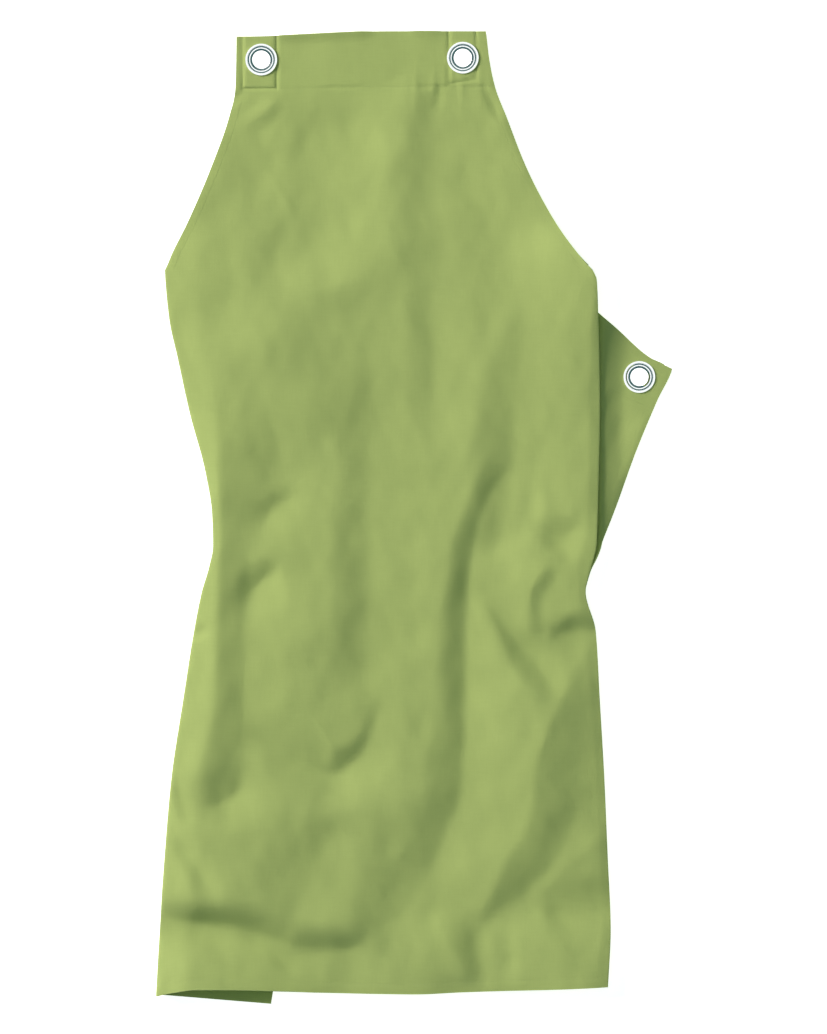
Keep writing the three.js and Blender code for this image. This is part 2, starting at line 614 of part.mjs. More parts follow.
// Square behind an eyelet: a flat plate with its corners cut off, level with the cloth there
function patchPlate(place, turn, top) {
  const half = PATCH_SIZE / 2;
  const short = half - PATCH_CORNER;
  const corners = [[-short, -half], [short, -half], [half, -short], [half, short]];
  const round = [...corners, ...corners.map(([x, y]) => [-x, -y])];
  const shape = new THREE.Shape(round.map(([x, y]) => new THREE.Vector2(x, y)));
  shape.holes.push(new THREE.Path().absarc(0, 0, CLOTH_HOLE_RADIUS, 0, 2 * Math.PI, true));
  const options = { depth: WALL, bevelEnabled: false, curveSegments: EYELET_SIDES / 2 };
  const plate = new THREE.ExtrudeGeometry(shape, options);
  plate.rotateZ(turn * RADIANS);
  plate.translate(place.x, place.y, top - WALL);
  return plate;
}

// Eyelets: place on the cut, layers of cloth they clamp, and whether the outer face lies downwards
const EYELETS = [
  { name: 'bib_left', across: -133.3, along: 404.5, layers: 3, faceDown: false, turn: 0 },
  { name: 'bib_right', across: 43.1, along: 402, layers: 3, faceDown: false, turn: 0 },
  { name: 'waist_left', across: -370, along: 133, layers: 2, faceDown: true, turn: 10 },
  { name: 'waist_right', across: 294.8, along: 153, layers: 2, faceDown: false, turn: -22.3 },
];

const apron = new THREE.Group();
const net = buildNet();
const rowAt = (level) => ROW_LEVELS.indexOf(level);
const lastRow = ROW_LEVELS.length - 1;
const lastColumn = net.grid[lastRow].length - 1;
const hemDepth = WALL + SEAM_GAP;
const places = EYELETS.map((eyelet) => lay(eyelet.across, eyelet.along));
const pins = places.map(holePin);

const panel = pins.reduce((solid, pin) => solid.subtract(pin), toSolid(layer(net, net.triangles, 0)));
apron.add(named('apron_panel', fromSolid(panel), clothMaterial(CLOTH_COLOUR)));

const bandTriangles = stretch(net, [0, rowAt(BAND_LEVEL)], [net.leftCount, net.frontEnd]);
const facing = toSolid(layer(net, bandTriangles, hemDepth)).subtract(pins[0]).subtract(pins[1]);
apron.add(named('bib_facing', fromSolid(facing), clothMaterial(INSIDE_COLOUR)));

const armholeRows = [rowAt(372), rowAt(216)];
const sideRows = [rowAt(112), rowAt(-396)];
const HEMS = [
  { name: 'armhole_hem_left', rows: armholeRows, columns: [net.leftCount, net.leftCount + 1] },
  { name: 'armhole_hem_right', rows: armholeRows, columns: [net.frontEnd - 1, net.frontEnd] },
  { name: 'side_hem_left', rows: sideRows, columns: [0, 1] },
  { name: 'side_hem_right', rows: sideRows, columns: [lastColumn - 1, lastColumn] },
  { name: 'bottom_hem', rows: [rowAt(HEM_LINE_LEVEL), lastRow], columns: [0, lastColumn] },
];
for (const hem of HEMS) {
  const strip = layer(net, stretch(net, hem.rows, hem.columns), hemDepth);
  apron.add(named(hem.name, strip, clothMaterial(INSIDE_COLOUR)));
}

EYELETS.forEach((eyelet, k) => {
  const place = places[k];
  const stack = eyelet.layers * WALL + (eyelet.layers - 1) * SEAM_GAP;
  const depth = stack - WALL;
  const patchTop = eyelet.faceDown ? place.z + stack : place.z - depth;
  const patch = patchPlate(place, eyelet.turn, patchTop);
  apron.add(named('eyelet_patch_' + eyelet.name, patch, clothMaterial(INSIDE_COLOUR)));
  const pieces = new THREE.Group();
  pieces.position.copy(place);
  if (eyelet.faceDown) pieces.rotation.x = Math.PI;
  pieces.add(named('eyelet_' + eyelet.name, turned(eyeletProfile(stack), EYELET_SIDES), metalMaterial()));
  pieces.add(named('eyelet_washer_' + eyelet.name, turned(WASHER_PROFILE, EYELET_SIDES), metalMaterial()));
  apron.add(pieces);
});

export default apron;
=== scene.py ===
import math

import bpy
import numpy as np
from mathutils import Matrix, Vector


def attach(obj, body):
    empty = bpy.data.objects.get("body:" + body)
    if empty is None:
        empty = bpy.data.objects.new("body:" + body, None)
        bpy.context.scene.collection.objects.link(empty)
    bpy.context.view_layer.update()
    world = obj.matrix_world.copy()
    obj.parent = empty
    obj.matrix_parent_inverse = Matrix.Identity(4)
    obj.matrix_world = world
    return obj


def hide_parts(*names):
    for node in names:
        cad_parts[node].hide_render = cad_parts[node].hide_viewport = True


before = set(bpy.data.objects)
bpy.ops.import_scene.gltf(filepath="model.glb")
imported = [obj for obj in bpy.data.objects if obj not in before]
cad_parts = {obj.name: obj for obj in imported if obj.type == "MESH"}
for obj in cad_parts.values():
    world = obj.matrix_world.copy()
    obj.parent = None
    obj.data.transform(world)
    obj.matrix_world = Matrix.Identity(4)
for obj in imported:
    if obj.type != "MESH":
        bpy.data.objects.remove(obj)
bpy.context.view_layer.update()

# Cloth sizes in millimetres, in the frame of the solids: across to the right, level towards the bib
MM = 0.001
WALL = 0.9  # one layer of cloth
SEAM_GAP = 0.2  # between sewn layers
HEM_WIDTH = 8.0
TOP_LEVEL = 425.3
BAND_LEVEL = 376.0
FOLD_LEVEL = 216.0  # the side folds begin here
WAIST_LEVEL = 172.0
HEM_LINE_LEVEL = -405.0
BOTTOM_LEVEL = -417.0
TOP_SLOPE = {"fall": 4.6, "from": -20.0, "to": -150.0, "below": 340.0}
HEM_SHAPE_LEVEL = -340.0

# Side folds
LEFT_RADIUS = 8.0
RIGHT_RADIUS = 8.0
RIGHT_EDGE_RISE = 2.5  # of the right fold over the layer below it
LEFT_EDGE_SLOPE = 0.24  # of the front, at most, from a side fold up to its crown
RIGHT_EDGE_SLOPE = 0.16
INNER_RADIUS = 1.5
FLAP_HEIGHT = 2.5
LEFT_LIFT = 2.5
RIGHT_LIFT = 1.2
LIFT_LEVELS = (40.0, 110.0)
BIB_CLEAR = 2.5  # least height of the front at the bib,
FRONT_CLEAR = 5.0  # over one layer of cloth
FRONT_CLEAR_LEVEL = 300.0
STACK_CLEAR = 8.4  # and over the two on the right
STACK_MARGIN = 30.0
CLEAR_SOFTNESS = 2.5
REST_LIFT = 0.25  # share of that by which two equal heights are lifted
EDGE_BEND = 0.35  # share of the way to the crown in which the edge bends
BEND_SHARE = 0.3  # share of the rise in that bend


def table(columns, *rows):
    """A table's columns by name"""
    return dict(zip(columns.split(), np.array(rows, float).T))


# The cut above the waist: level, left and right edge of the cloth
CUT = table(
    "level left right",
    (425.3, -155, 63.5), (400, -155.3, 66.5), (376, -156, 71.6), (350, -161.5, 81.6), (305, -177.3, 99.2),
    (258, -197.5, 124), (232, -210.5, 142), (216, -217.5, 156), (200, -230, 209), (186, -250, 254),
)

# How far the bottom edge of the front leaves its level
HEM_EDGE = table(
    "x shift",
    (-226, -2), (-208, 2), (-190, 4.3), (-150, 3.9), (-120, 3), (-80, 1), (-40, -0.4), (0, -0.8),
    (40, 0.9), (80, 2.3), (120, 3.6), (150, 5), (172, 6.2),
)

# The side folds as they lie: level, place of the left fold, of the right fold and of the hidden second one
FOLD_LINES = table(
    "level left right second",
    (216, -217.5, 156, 136),
    (207, -217, 160, 134),
    (172, -213.5, 161.5, 127),
    (140, -206.5, 162.5, 121),
    (90, -195.5, 163, 111),
    (40, -182, 162, 101.5),
    (2, -176, 161, 94),
    (-25, -175.2, 160, 90),
    (-45, -179, 155, 88),
    (-65, -185, 150.5, 86),
    (-100, -192, 159.5, 84),
    (-160, -201.5, 163, 81),
    (-230, -212, 167, 79),
    (-300, -218, 170, 77),
    (-360, -222, 172.5, 76),
    (-417, -225, 170, 75),
)

# The cloth under the front: level, its length beyond the left and the second fold, and its turn in degrees
FLAPS = table(
    "level left_run flap_run left_turn flap_turn",
    (216, 175, 109, 12, 22.3),
    (172, 173, 108, 11, 22.3),
    (140, 162, 100, 10, 22.3),
    (90, 142, 90, 8, 22.3),
    (40, 121, 82, 6, 22.3),
    (2, 109, 75, 4, 22),
    (-25, 104, 69, 3, 20),
    (-45, 104.5, 65.5, 2, 19),
    (-65, 107, 63, 1, 17),
    (-100, 109, 59, 0, 15),
    (-160, 109, 51, -1, 11),
    (-230, 109, 42, -2, 7),
    (-300, 104, 34, -2.5, 4),
    (-360, 99, 29, -4, 2),
    (-417, 92.5, 27, -4.7, 0),
)

# Upper edge of the cloth beyond the side folds: distance beyond the fold, level
LEFT_ARMHOLE_END = table(
    "beyond level", (0, 216), (13.8, 200), (35, 186), (70.6, 172), (128, 159), (186, 155))
RIGHT_ARMHOLE_END = table(
    "beyond level", (0, 216), (50, 200), (93, 186), (133, 172), (156, 170.5))

# Height of the outer face along the armholes, down to where the side folds begin
ARMHOLE_HEIGHTS = table(
    "level left right",
    (425.3, 5, 5), (355, 5, 5), (310, 6, 7.5), (258, 8.5, 12.5), (232, 10, 17), (216, 11, 19),
    (200, 11.5, 18.5),
)

# Outer face of the front: heights of its crowns and its middle, places of the crowns, lengths of their fall
SECTIONS = table(
    "level left_crown middle right_crown left_line right_line left_fall right_fall",
    (425.3, 5, 5, 5, -129, 43, 60, 60),
    (355, 5, 5, 5.5, -134, 74, 60, 50),
    (310, 6, 6.5, 8, -147, 92, 80, 50),
    (258, 8.5, 8, 12.5, -168, 118, 100, 56),
    (232, 12, 8.5, 17, -182, 137, 110, 70),
    (200, 15, 9, 18.5, -184, 156, 120, 86),
    (150, 16, 10, 15.5, -177, 153, 130, 82),
    (100, 16.5, 11, 14, -169, 152, 130, 78),
    (50, 16.5, 12.5, 14.5, -168, 152, 80, 70),
    (0, 16, 15, 17, -166, 151, 56, 66),
    (-50, 16.5, 16.5, 20, -167, 142, 44, 80),
    (-100, 16.5, 16.5, 21, -169, 148, 40, 80),
    (-160, 16.5, 16, 18, -173.5, 154, 38, 60),
    (-230, 16, 15.5, 16, -182, 159, 38, 50),
    (-300, 16, 14.5, 16, -187, 162, 50, 60),
    (-360, 15, 14.5, 19, -193, 164, 60, 95),
    (-390, 19.5, 11.5, 20, -196, 160, 150, 95),
    (-417, 24.5, 8.5, 19, -199, 158, 190, 95),
)

# Folds of the front, each a path: x, y, rise (below 0 in a valley), spread to the left and right of its way
CREASES = {  # with a sharp line
    "left_crest": [
        (-187, -250, 0, 20, 20), (-193, -230, 1.2, 24, 26), (-184, -212, 2, 30, 26),
        (-175, -175, 2, 32, 24), (-173, -130, 2, 30, 24), (-172, -90, 2, 28, 24), (-172, -50, 2, 26, 26),
        (-171, -20, 2.5, 26, 34), (-171, 15, 3, 26, 46), (-170, 50, 2.5, 28, 50), (-171, 75, 1, 30, 48),
        (-174, 95, 0, 30, 40),
    ],
    "left_valley": [
        (-155, -254, 0, 30, 20), (-153, -238, -2, 36, 30), (-150, -215, -2, 28, 60),
        (-148, -170, -2, 25, 80), (-147, -120, -2, 25, 80), (-147, -85, -2, 25, 70),
        (-145, -66, -1.8, 26, 60), (-142, -30, -1.2, 30, 70), (-136, 0, -1.5, 38, 70),
        (-115, 26, -1.8, 48, 80), (-118, 60, -2.5, 44, 50), (-128, 95, -2.5, 36, 40),
        (-141, 126, -1.5, 24, 30), (-150, 150, 0, 16, 20),
    ],
    "left_hollow": [
        (-180, -254, -3, 22, 26), (-168, -250, -6, 36, 28), (-156, -243, -5.5, 38, 40),
        (-149, -228, -3, 32, 70), (-146, -210, 0, 18, 40),
    ],
    "high_hook": [
        (-102, 19, 0, 16, 8), (-108, 16, -2.6, 26, 13), (-118, 10, -3.4, 30, 15), (-127, 1, -3, 30, 16),
        (-130, -10, -1.3, 24, 14), (-128, -24, 0, 14, 10),
    ],
    "low_hook": [
        (-114, -46, 0, 14, 10), (-122, -49, -4, 34, 18), (-131, -55, -6, 40, 22),
        (-140, -65, -4.5, 40, 18), (-145, -84, -1.2, 30, 12), (-146, -104, 0, 16, 8),
    ],
    "left_tick": [
        (-195, -272, 0, 5, 10), (-199, -258, -2, 9, 18), (-204, -240, -2, 9, 18), (-207, -224, 0, 5, 10),
    ],
    "left_slant": [
        (-170, -342, 0, 10, 10), (-183, -318, -2.5, 14, 16), (-195, -298, -3, 12, 16),
        (-209, -281, 0, 8, 8),
    ],
    "left_pinch": [(-196, -104, -1.2, 6, 6), (-186, -101, -1.6, 7, 7), (-177, -98, 0, 5, 5)],
    "middle_crest": [
        (-70, -168, 0, 60, 20), (-67, -140, 1, 80, 26), (-62, -105, 1.2, 80, 26), (-60, -60, 1, 80, 26),
        (-66, -35, 0.8, 80, 30), (-69, -15, 0.8, 80, 32), (-66, 5, 0.8, 80, 32), (-60, 30, 1, 80, 28),
        (-58, 60, 1.2, 80, 26), (-57, 85, 1, 70, 26), (-53, 120, 0.8, 50, 20), (-49, 150, 0, 30, 14),
    ],
    "drape": [
        (-148, -182, 0, 30, 14), (-130, -196, -3, 42, 20), (-108, -211, -6, 46, 30),
        (-85, -222, -7, 40, 40), (-68, -224, -8, 30, 44), (-55, -217, -7, 22, 44), (-45, -206, -5, 15, 42),
        (-38, -193, -3, 12, 38), (-32, -175, -1.5, 9, 30), (-27, -152, 0, 8, 18),
    ],
    "main_valley": [
        (-46, -368, 0, 40, 30), (-28, -358, -5, 66, 60), (-10, -347, -8.5, 76, 100),
        (6, -328, -10.5, 78, 140), (18, -305, -11, 76, 160), (30, -275, -10.5, 60, 200),
        (40, -250, -10, 44, 220), (44, -220, -9.5, 36, 240), (46.5, -180, -9, 31, 250),
        (47, -130, -8.5, 27, 250), (47.5, -90, -7.5, 24, 250), (49, -55, -7, 21, 250),
        (53, -28, -6.8, 20, 250), (59, -3, -5.8, 18, 220), (67, 17, -5.6, 19, 200), (77, 32, -5, 24, 160),
        (87, 46, -4, 34, 100), (89, 75, -3, 38, 70), (91, 105, -2.2, 36, 60), (95, 150, -1.4, 24, 50),
        (97, 192, 0, 8, 30),
    ],
    "waist_valley": [
        (97, 52, 0, 14, 16), (95, 28, -3.5, 22, 30), (90, 6, -5, 24, 34), (80, -14, -4, 24, 26),
        (64, -38, 0, 12, 12),
    ],
    "wedge_crest": [
        (44, 30, 0, 30, 30), (48, 60, 1.2, 45, 36), (57, 100, 1.7, 50, 34), (75, 150, 1.2, 50, 22),
        (96, 188, 0, 30, 10),
    ],
    "low_crest": [
        (-66, -302, 0, 40, 30), (-42, -306, 1.5, 50, 40), (-20, -299, 2.5, 50, 42), (0, -281, 2.5, 50, 40),
        (14, -255, 2, 50, 34), (20, -222, 0, 40, 26),
    ],
    "centre_valley": [
        (17, 45, 0, 20, 30), (17, 75, -2, 24, 45), (17, 110, -2.5, 24, 50), (17, 150, -3, 24, 50),
        (15, 180, -2.5, 24, 45), (13, 208, 0, 20, 30),
    ],
    "armhole_crest": [
        (126, 270, 0, 20, 56), (144, 238, 6.5, 40, 70), (157, 214, 8.5, 40, 72), (160, 195, 7, 40, 70),
        (158, 170, 4, 40, 64), (156, 140, 1.5, 40, 60), (155, 105, 0, 30, 50),
    ],
    "waist_crest": [
        (104, -114, 0, 30, 10), (101, -98, 3, 46, 13), (100, -80, 3.6, 50, 14), (103, -62, 3.6, 50, 14),
        (112, -48, 3.2, 50, 14), (122, -41, 0, 30, 10),
    ],
    "waist_pocket": [
        (97, 40, 0, 10, 6), (99, 15, -0.8, 14, 8), (103, -4, -1, 16, 9), (110, -11, -2, 22, 11),
        (122, -17, -3, 26, 14), (133, -27, -2.5, 26, 14), (139, -41, 0, 14, 8),
    ],
    "waist_pit": [
        (118, -33, 0, 10, 20), (125, -25, -2.5, 18, 40), (133, -18, -4, 20, 50), (141, -10, -3, 18, 44),
        (149, -2, 0, 10, 20),
    ],
    "waist_notch": [
        (120, -101, 0, 10, 20), (129, -103, -6, 16, 90), (142, -103, -10.5, 23, 130),
        (160, -103, -10.5, 20, 120), (172, -103, -10.5, 20, 120),
    ],
    "thin_crest": [
        (58, -68, 0, 10, 30), (75, -105, 4.5, 20, 50), (90, -138, 6, 26, 50), (104, -152, 4.5, 20, 50),
        (124, -161, 0, 10, 30),
    ],
    "thin_crease": [
        (57, -61, 0, 30, 5), (80, -95, -3.5, 60, 18), (105, -126, -5, 60, 25), (128, -156, 0, 30, 14),
    ],
    "skirt_crest": [
        (57, -352, 0, 60, 24), (70, -325, 6, 110, 44), (80, -300, 8.5, 120, 50), (95, -280, 10, 120, 56),
        (103, -255, 11.5, 120, 60), (107, -215, 12.5, 120, 60), (114, -195, 12, 120, 58),
        (121, -177, 10.5, 110, 52), (129, -160, 8.5, 100, 46), (137, -143, 6, 80, 38),
        (147, -125, 3.5, 50, 28), (160, -104, 0, 16, 12),
    ],
    "skirt_valley": [
        (56, -373, 0, 8, 24), (75, -353, -3.5, 20, 44), (100, -328, -4, 28, 70), (120, -307, -4, 30, 90),
        (135, -278, -3.5, 30, 90), (151, -236, 0, 24, 50),
    ],
    "skirt_corner": [
        (112, -350, 0, 20, 20), (130, -345, -6.5, 30, 60), (155, -343, -8.5, 34, 90),
        (176, -342, -8, 34, 90),
    ],
    "corner_crest": [
        (104, -338, 0, 30, 20), (118, -322, 3, 50, 34), (136, -304, 5, 60, 40), (154, -288, 4.5, 60, 38),
        (170, -274, 0, 40, 20),
    ],
    "leaf_crest": [
        (18, -344, 0, 10, 30), (26, -362, 2.5, 20, 70), (35, -382, 4, 22, 70), (44, -398, 3, 18, 50),
        (50, -410, 0, 10, 20),
    ],
    "leaf_valley": [
        (44, -350, 0, 20, 14), (58, -369, -4.5, 32, 26), (70, -381, -6, 34, 32), (80, -389, -5.5, 28, 30),
        (92, -393, 0, 12, 16),
    ],
    "hem_fold": [
        (-230, -351, -4, 18, 30), (-205, -355, -8, 20, 36), (-185, -360, -12, 23, 40),
        (-165, -365, -13, 26, 42), (-148, -370, -13, 29, 44), (-133, -375, -13, 31, 46),
        (-121, -380, -12, 33, 42), (-111, -385, -10.5, 33, 42), (-98, -386, -9.5, 32, 60),
        (-80, -384, -9, 29, 90), (-62, -382, -8.5, 26, 120), (-48, -375, -5, 20, 100),
        (-36, -362, 0, 12, 40),
    ],
    "hem_ridge": [
        (-232, -322, 2, 80, 26), (-200, -330, 4, 90, 28), (-165, -333, 5, 100, 28),
        (-132, -337, 4.5, 100, 28), (-110, -348, 3, 80, 30), (-85, -354, 3, 70, 30),
        (-60, -354, 3, 60, 30), (-38, -348, 0, 40, 20),
    ],
    "hem_crest": [
        (-178, -367, 0, 6, 14), (-160, -368, 2, 8, 24), (-145, -376, 3, 9, 26), (-130, -384, 3, 9, 24),
        (-117, -400, 0, 8, 12),
    ],
    "bib_drape": [
        (-34, 226, 0, 14, 20), (-45, 216, 0.5, 26, 34), (-57, 206, 2, 30, 40), (-72, 199, 4, 32, 40),
        (-95, 202, 3.5, 30, 36), (-118, 214, 0, 20, 20),
    ],
    "square_pucker": [
        (-150, 343, 0, 8, 8), (-138, 350, 1.8, 12, 14), (-127, 358, 2, 12, 12), (-117, 367, 0, 6, 6),
    ],
    "corner_dent": [(-160, 364, -0.6, 5, 5), (-153, 370, -1.5, 6, 6), (-144, 375, 0, 4, 4)],
    "band_pucker": [(19, 356, 0, 5, 5), (22, 368, -1.4, 6, 8), (25, 379, 0, 4, 4)],
    "corner_pucker": [(77, 348, 0, 5, 5), (69, 363, -1.6, 6, 6), (61, 377, 0, 4, 4)],
}
SWELLS = {  # with a round line
    "bib_crest": [
        (-12, 190, 0, 50, 24), (-17, 225, 3.4, 80, 30), (-20, 260, 3.8, 80, 32), (-20, 300, 3.8, 80, 32),
        (-16, 330, 3.6, 60, 28), (-8, 350, 3.2, 40, 20), (2, 370, 2, 20, 12), (7, 380, 0, 10, 8),
    ],
    "bib_pocket": [
        (-134, 250, 0, 16, 20), (-116, 240, -2.8, 30, 40), (-97, 237, -3.2, 36, 45),
        (-80, 243, -3.2, 42, 50), (-74, 264, -3.2, 46, 55), (-75, 300, -3, 46, 60),
        (-65, 325, -3.5, 50, 60), (-54, 346, -2.6, 46, 50), (-50, 364, 0, 24, 30),
    ],
    "bib_shoulder": [
        (-182, 262, 0, 20, 40), (-178, 290, 3, 24, 50), (-172, 318, 2.5, 24, 45), (-164, 345, 0, 16, 30),
    ],
    "left_furrow": [
        (-150, 180, 0, 26, 30), (-154, 205, -0.8, 30, 44), (-156, 232, -0.8, 28, 40),
        (-158, 256, 0, 20, 24),
    ],
    "left_light": [
        (-112, 200, 0, 50, 30), (-118, 165, 5, 100, 46), (-121, 135, 5, 100, 52), (-112, 100, 4, 90, 56),
        (-104, 65, 2, 60, 40), (-100, 35, 0, 30, 20),
    ],
    "low_knob": [
        (-112, -235, 0, 26, 40), (-112, -200, 1, 30, 48), (-110, -160, 1.8, 30, 46),
        (-110, -130, 2.6, 30, 42), (-110, -98, 2.6, 30, 42), (-118, -72, 0.8, 30, 50),
        (-116, -50, 0.3, 30, 50), (-112, -34, 0, 20, 30),
    ],
    "middle_valley": [
        (-56, -168, 0, 26, 50), (-46, -138, -3.2, 28, 90), (-38, -100, -4.6, 28, 100),
        (-36, -60, -4.8, 28, 100), (-37, -20, -4.8, 30, 100), (-36, 20, -4.4, 28, 90),
        (-36, 60, -3, 22, 70), (-34, 100, -1.6, 18, 50), (-34, 132, 0, 14, 30),
    ],
    "skirt_dip": [
        (-130, -286, 0, 24, 40), (-104, -297, -3.5, 36, 80), (-82, -296, -5, 36, 95),
        (-70, -278, -4.5, 32, 95), (-66, -256, 0, 24, 60),
    ],
}
PATH_STEPS = 6  # steps between two rows of a fold's path
CREASE_ROUND = 1.6
SWELL_ROUND = 12.0
FLANK_FULLNESS = 0.8  # 0 for flanks that are steepest at the line, more for even flanks
PATH_BLEND = 2.0  # over this difference of distance, neighbouring stretches of a path melt together

LEFT_BEND = math.pi / 2 * LEFT_RADIUS  # cloth in the lower half of each fold
RIGHT_BEND = math.pi / 2 * RIGHT_RADIUS
INNER_BEND = math.pi * INNER_RADIUS


def smooth_step(start, end, value):
    t = np.clip((value - start) / (end - start), 0, 1)
    return t * t * (3 - 2 * t)


def mix(a, b, share):
    return a + (b - a) * share


def read(rows, column, level, key="level"):
    """One column of a table at some levels, on a smooth curve that never overshoots its rows"""
    order = np.argsort(rows[key])
    xs, ys = rows[key][order], rows[column][order]
    run = np.diff(xs)
    slope = np.diff(ys) / run
    product = slope[:-1] * slope[1:]
    tangent = np.zeros(len(xs))
    tangent[0], tangent[-1] = slope[0], slope[-1]
    total = slope[:-1] + slope[1:]
    tangent[1:-1] = np.where(product > 0, 2 * product / np.where(product > 0, total, 1), 0)
    at = np.clip(level, xs[0], xs[-1])
    i = np.clip(np.searchsorted(xs, at) - 1, 0, len(xs) - 2)
    t = (at - xs[i]) / run[i]
    from_row = ys[i] * (1 + 2 * t) * (1 - t) ** 2 + run[i] * tangent[i] * t * (1 - t) ** 2
    to_row = ys[i + 1] * t * t * (3 - 2 * t) + run[i] * tangent[i + 1] * t * t * (t - 1)
    return from_row + to_row


def sample_path(rows):
    """Points along a fold's path with its rise and spreads, on a curve through its rows"""
    p = np.array(rows, float)
    p = np.vstack([p[0], p, p[-1]])
    t = (np.arange(PATH_STEPS) / PATH_STEPS)[:, None]
    stretches = []
    for a, b, c, d in zip(p[:-3], p[1:-2], p[2:-1], p[3:]):
        bend = (2 * a - 5 * b + 4 * c - d) * t + (3 * b - a - 3 * c + d) * t * t
        stretches.append(b + 0.5 * t * (c - a + bend))
    return np.vstack([*stretches, p[-1:]])


def fold_rise(path, roundness, x, y):
    """Height that one fold adds at some places on the front"""
    reach = path[:, 3:].max() + roundness
    low = path[:, :2].min(axis=0) - reach
    high = path[:, :2].max(axis=0) + reach
    rise = np.zeros(x.shape)
    near = (x > low[0]) & (x < high[0]) & (y > low[1]) & (y < high[1])
    px, py = x[near], y[near]
    stretches = []
    for a, b in zip(path[:-1], path[1:]):
        run = b[:2] - a[:2]
        t = np.clip(((px - a[0]) * run[0] + (py - a[1]) * run[1]) / (run @ run), 0, 1)
        ex = px - a[0] - t * run[0]
        ey = py - a[1] - t * run[1]
        on_left = run[0] * ey - run[1] * ex > 0
        spread = np.where(on_left, mix(a[3], b[3], t), mix(a[4], b[4], t))
        stretches.append((np.hypot(ex, ey), spread, mix(a[2], b[2], t)))
    nearest = np.min([distance for distance, _, _ in stretches], axis=0)
    total = np.zeros(px.shape)
    weights = np.zeros(px.shape)
    reaches = np.zeros(px.shape)
    for distance, spread, height in stretches:
        weight = np.exp((nearest - distance) / PATH_BLEND)
        total += weight * height
        reaches += weight * spread
        weights += weight
    u = np.minimum((np.hypot(nearest, roundness) - roundness) * weights / reaches, 1)
    rise[near] = total / weights * (1 - u) ** 2 * (1 + FLANK_FULLNESS * u)
    return rise


FOLD_PATHS = [(sample_path(rows), CREASE_ROUND) for rows in CREASES.values()]
FOLD_PATHS += [(sample_path(rows), SWELL_ROUND) for rows in SWELLS.values()]


def lift(level):
    return smooth_step(*LIFT_LEVELS, level)


def left_layer_height(level):
    return LEFT_LIFT * lift(level)


def flap_height(level):
    return FLAP_HEIGHT + RIGHT_LIFT * lift(level)


def middle_layer_height(level):
    return flap_height(level) + 2 * INNER_RADIUS


def front_edge(side, level):
    """Left or right edge of the front: the armhole, and below it the side fold"""
    return np.where(level > FOLD_LEVEL, read(CUT, side, level), read(FOLD_LINES, side, level))


def rest_on(height, least):
    """A height that stays above another, and comes to rest on it softly"""
    near = np.maximum(CLEAR_SOFTNESS - np.abs(height - least), 0) / CLEAR_SOFTNESS
    return np.maximum(height, least) + near * near * CLEAR_SOFTNESS * REST_LIFT


def edge_round(share):
    """Share of the rise from a side edge to its crown: round at the edge, then a long slope"""
    bend = np.sqrt(1 - (1 - np.minimum(share / EDGE_BEND, 1)) ** 2)
    return mix(smooth_step(0, 1, share), bend, BEND_SHARE)


def front_height(x, y):
    """Height of the outer face of the front"""
    from_left = np.maximum(x - front_edge("left", y), 0)
    from_right = np.maximum(front_edge("right", y) - x, 0)
    folded = smooth_step(FOLD_LEVEL, FOLD_LEVEL - STACK_MARGIN, y)
    left_line = read(SECTIONS, "left_line", y)
    right_line = read(SECTIONS, "right_line", y)
    left_width = left_line - front_edge("left", y)
    right_width = front_edge("right", y) - right_line
    left_crown = read(SECTIONS, "left_crown", y)
    right_crown = read(SECTIONS, "right_crown", y)
    left_low = left_layer_height(y) + LEFT_RADIUS
    right_low = middle_layer_height(y) + RIGHT_EDGE_RISE
    left_fold = np.maximum(left_low, left_crown - LEFT_EDGE_SLOPE * left_width)
    right_fold = np.maximum(right_low, right_crown - RIGHT_EDGE_SLOPE * right_width)
    left_edge = mix(read(ARMHOLE_HEIGHTS, "left", y), left_fold, folded)
    right_edge = mix(read(ARMHOLE_HEIGHTS, "right", y), right_fold, folded)
    left = mix(left_edge, left_crown, edge_round(from_left / left_width))
    right = mix(right_edge, right_crown, edge_round(from_right / right_width))
    middle = read(SECTIONS, "middle", y)
    left_share = 1 - smooth_step(0, read(SECTIONS, "left_fall", y), x - left_line)
    right_share = 1 - smooth_step(0, read(SECTIONS, "right_fall", y), right_line - x)
    base = middle + (left - middle) * left_share + (right - middle) * right_share
    folds = sum(fold_rise(path, roundness, x, y) for path, roundness in FOLD_PATHS)
    over_stack = folded * smooth_step(-STACK_MARGIN, 0, x - read(FOLD_LINES, "second", y))
    over_flap = smooth_step(FRONT_CLEAR_LEVEL, FOLD_LEVEL, y)
    least = mix(mix(BIB_CLEAR, FRONT_CLEAR, over_flap), STACK_CLEAR, over_stack)
    return rest_on(base + folds, least)


# Seams: stitch lines that pull a groove into the cloth, and puckers beside them
GROOVE_DEPTH = 0.45
GROOVE_WIDTH = 1.3
HEM_RAISE = 0.35  # doubled cloth stands this much higher
SEAM_STEP = 1.5  # half the width of the step at a seam
ARMHOLE_STITCH = 7.0  # from the armhole's edge
ARMHOLE_STEP = 1.0
ARMHOLE_SHARE = 0.15  # of the relief beside a seam, along the armholes
BIB_RAMP = 10.0
BAND_RAMP = 2.0
BAND_STITCH_LEVEL = 377.0
BAND_SHARE = 0.25  # of the relief beside a seam, along most of the band
BAND_GATHERED = ((-12.0, 6.0), (75.0, 60.0))  # where the band's seam is gathered,
BAND_MARKED = ((-86.0, -74.0), (-40.0, -52.0))  # and where it is pressed in
BAND_PUCKER = 0.03
GATHER_PUCKER = 0.17
HEM_STITCH_LEVEL = -408.0
HEM_SHARE = 0.25
HEM_PUCKER = 0.05
CURL_HEIGHT = 2.0  # of the top edge
CURL_WIDTH = 7.0
LEFT_CURL = ((-128.0, -112.0), (-30.0, -48.0))
RIGHT_CURL = ((-8.0, 4.0), (30.0, 16.0))
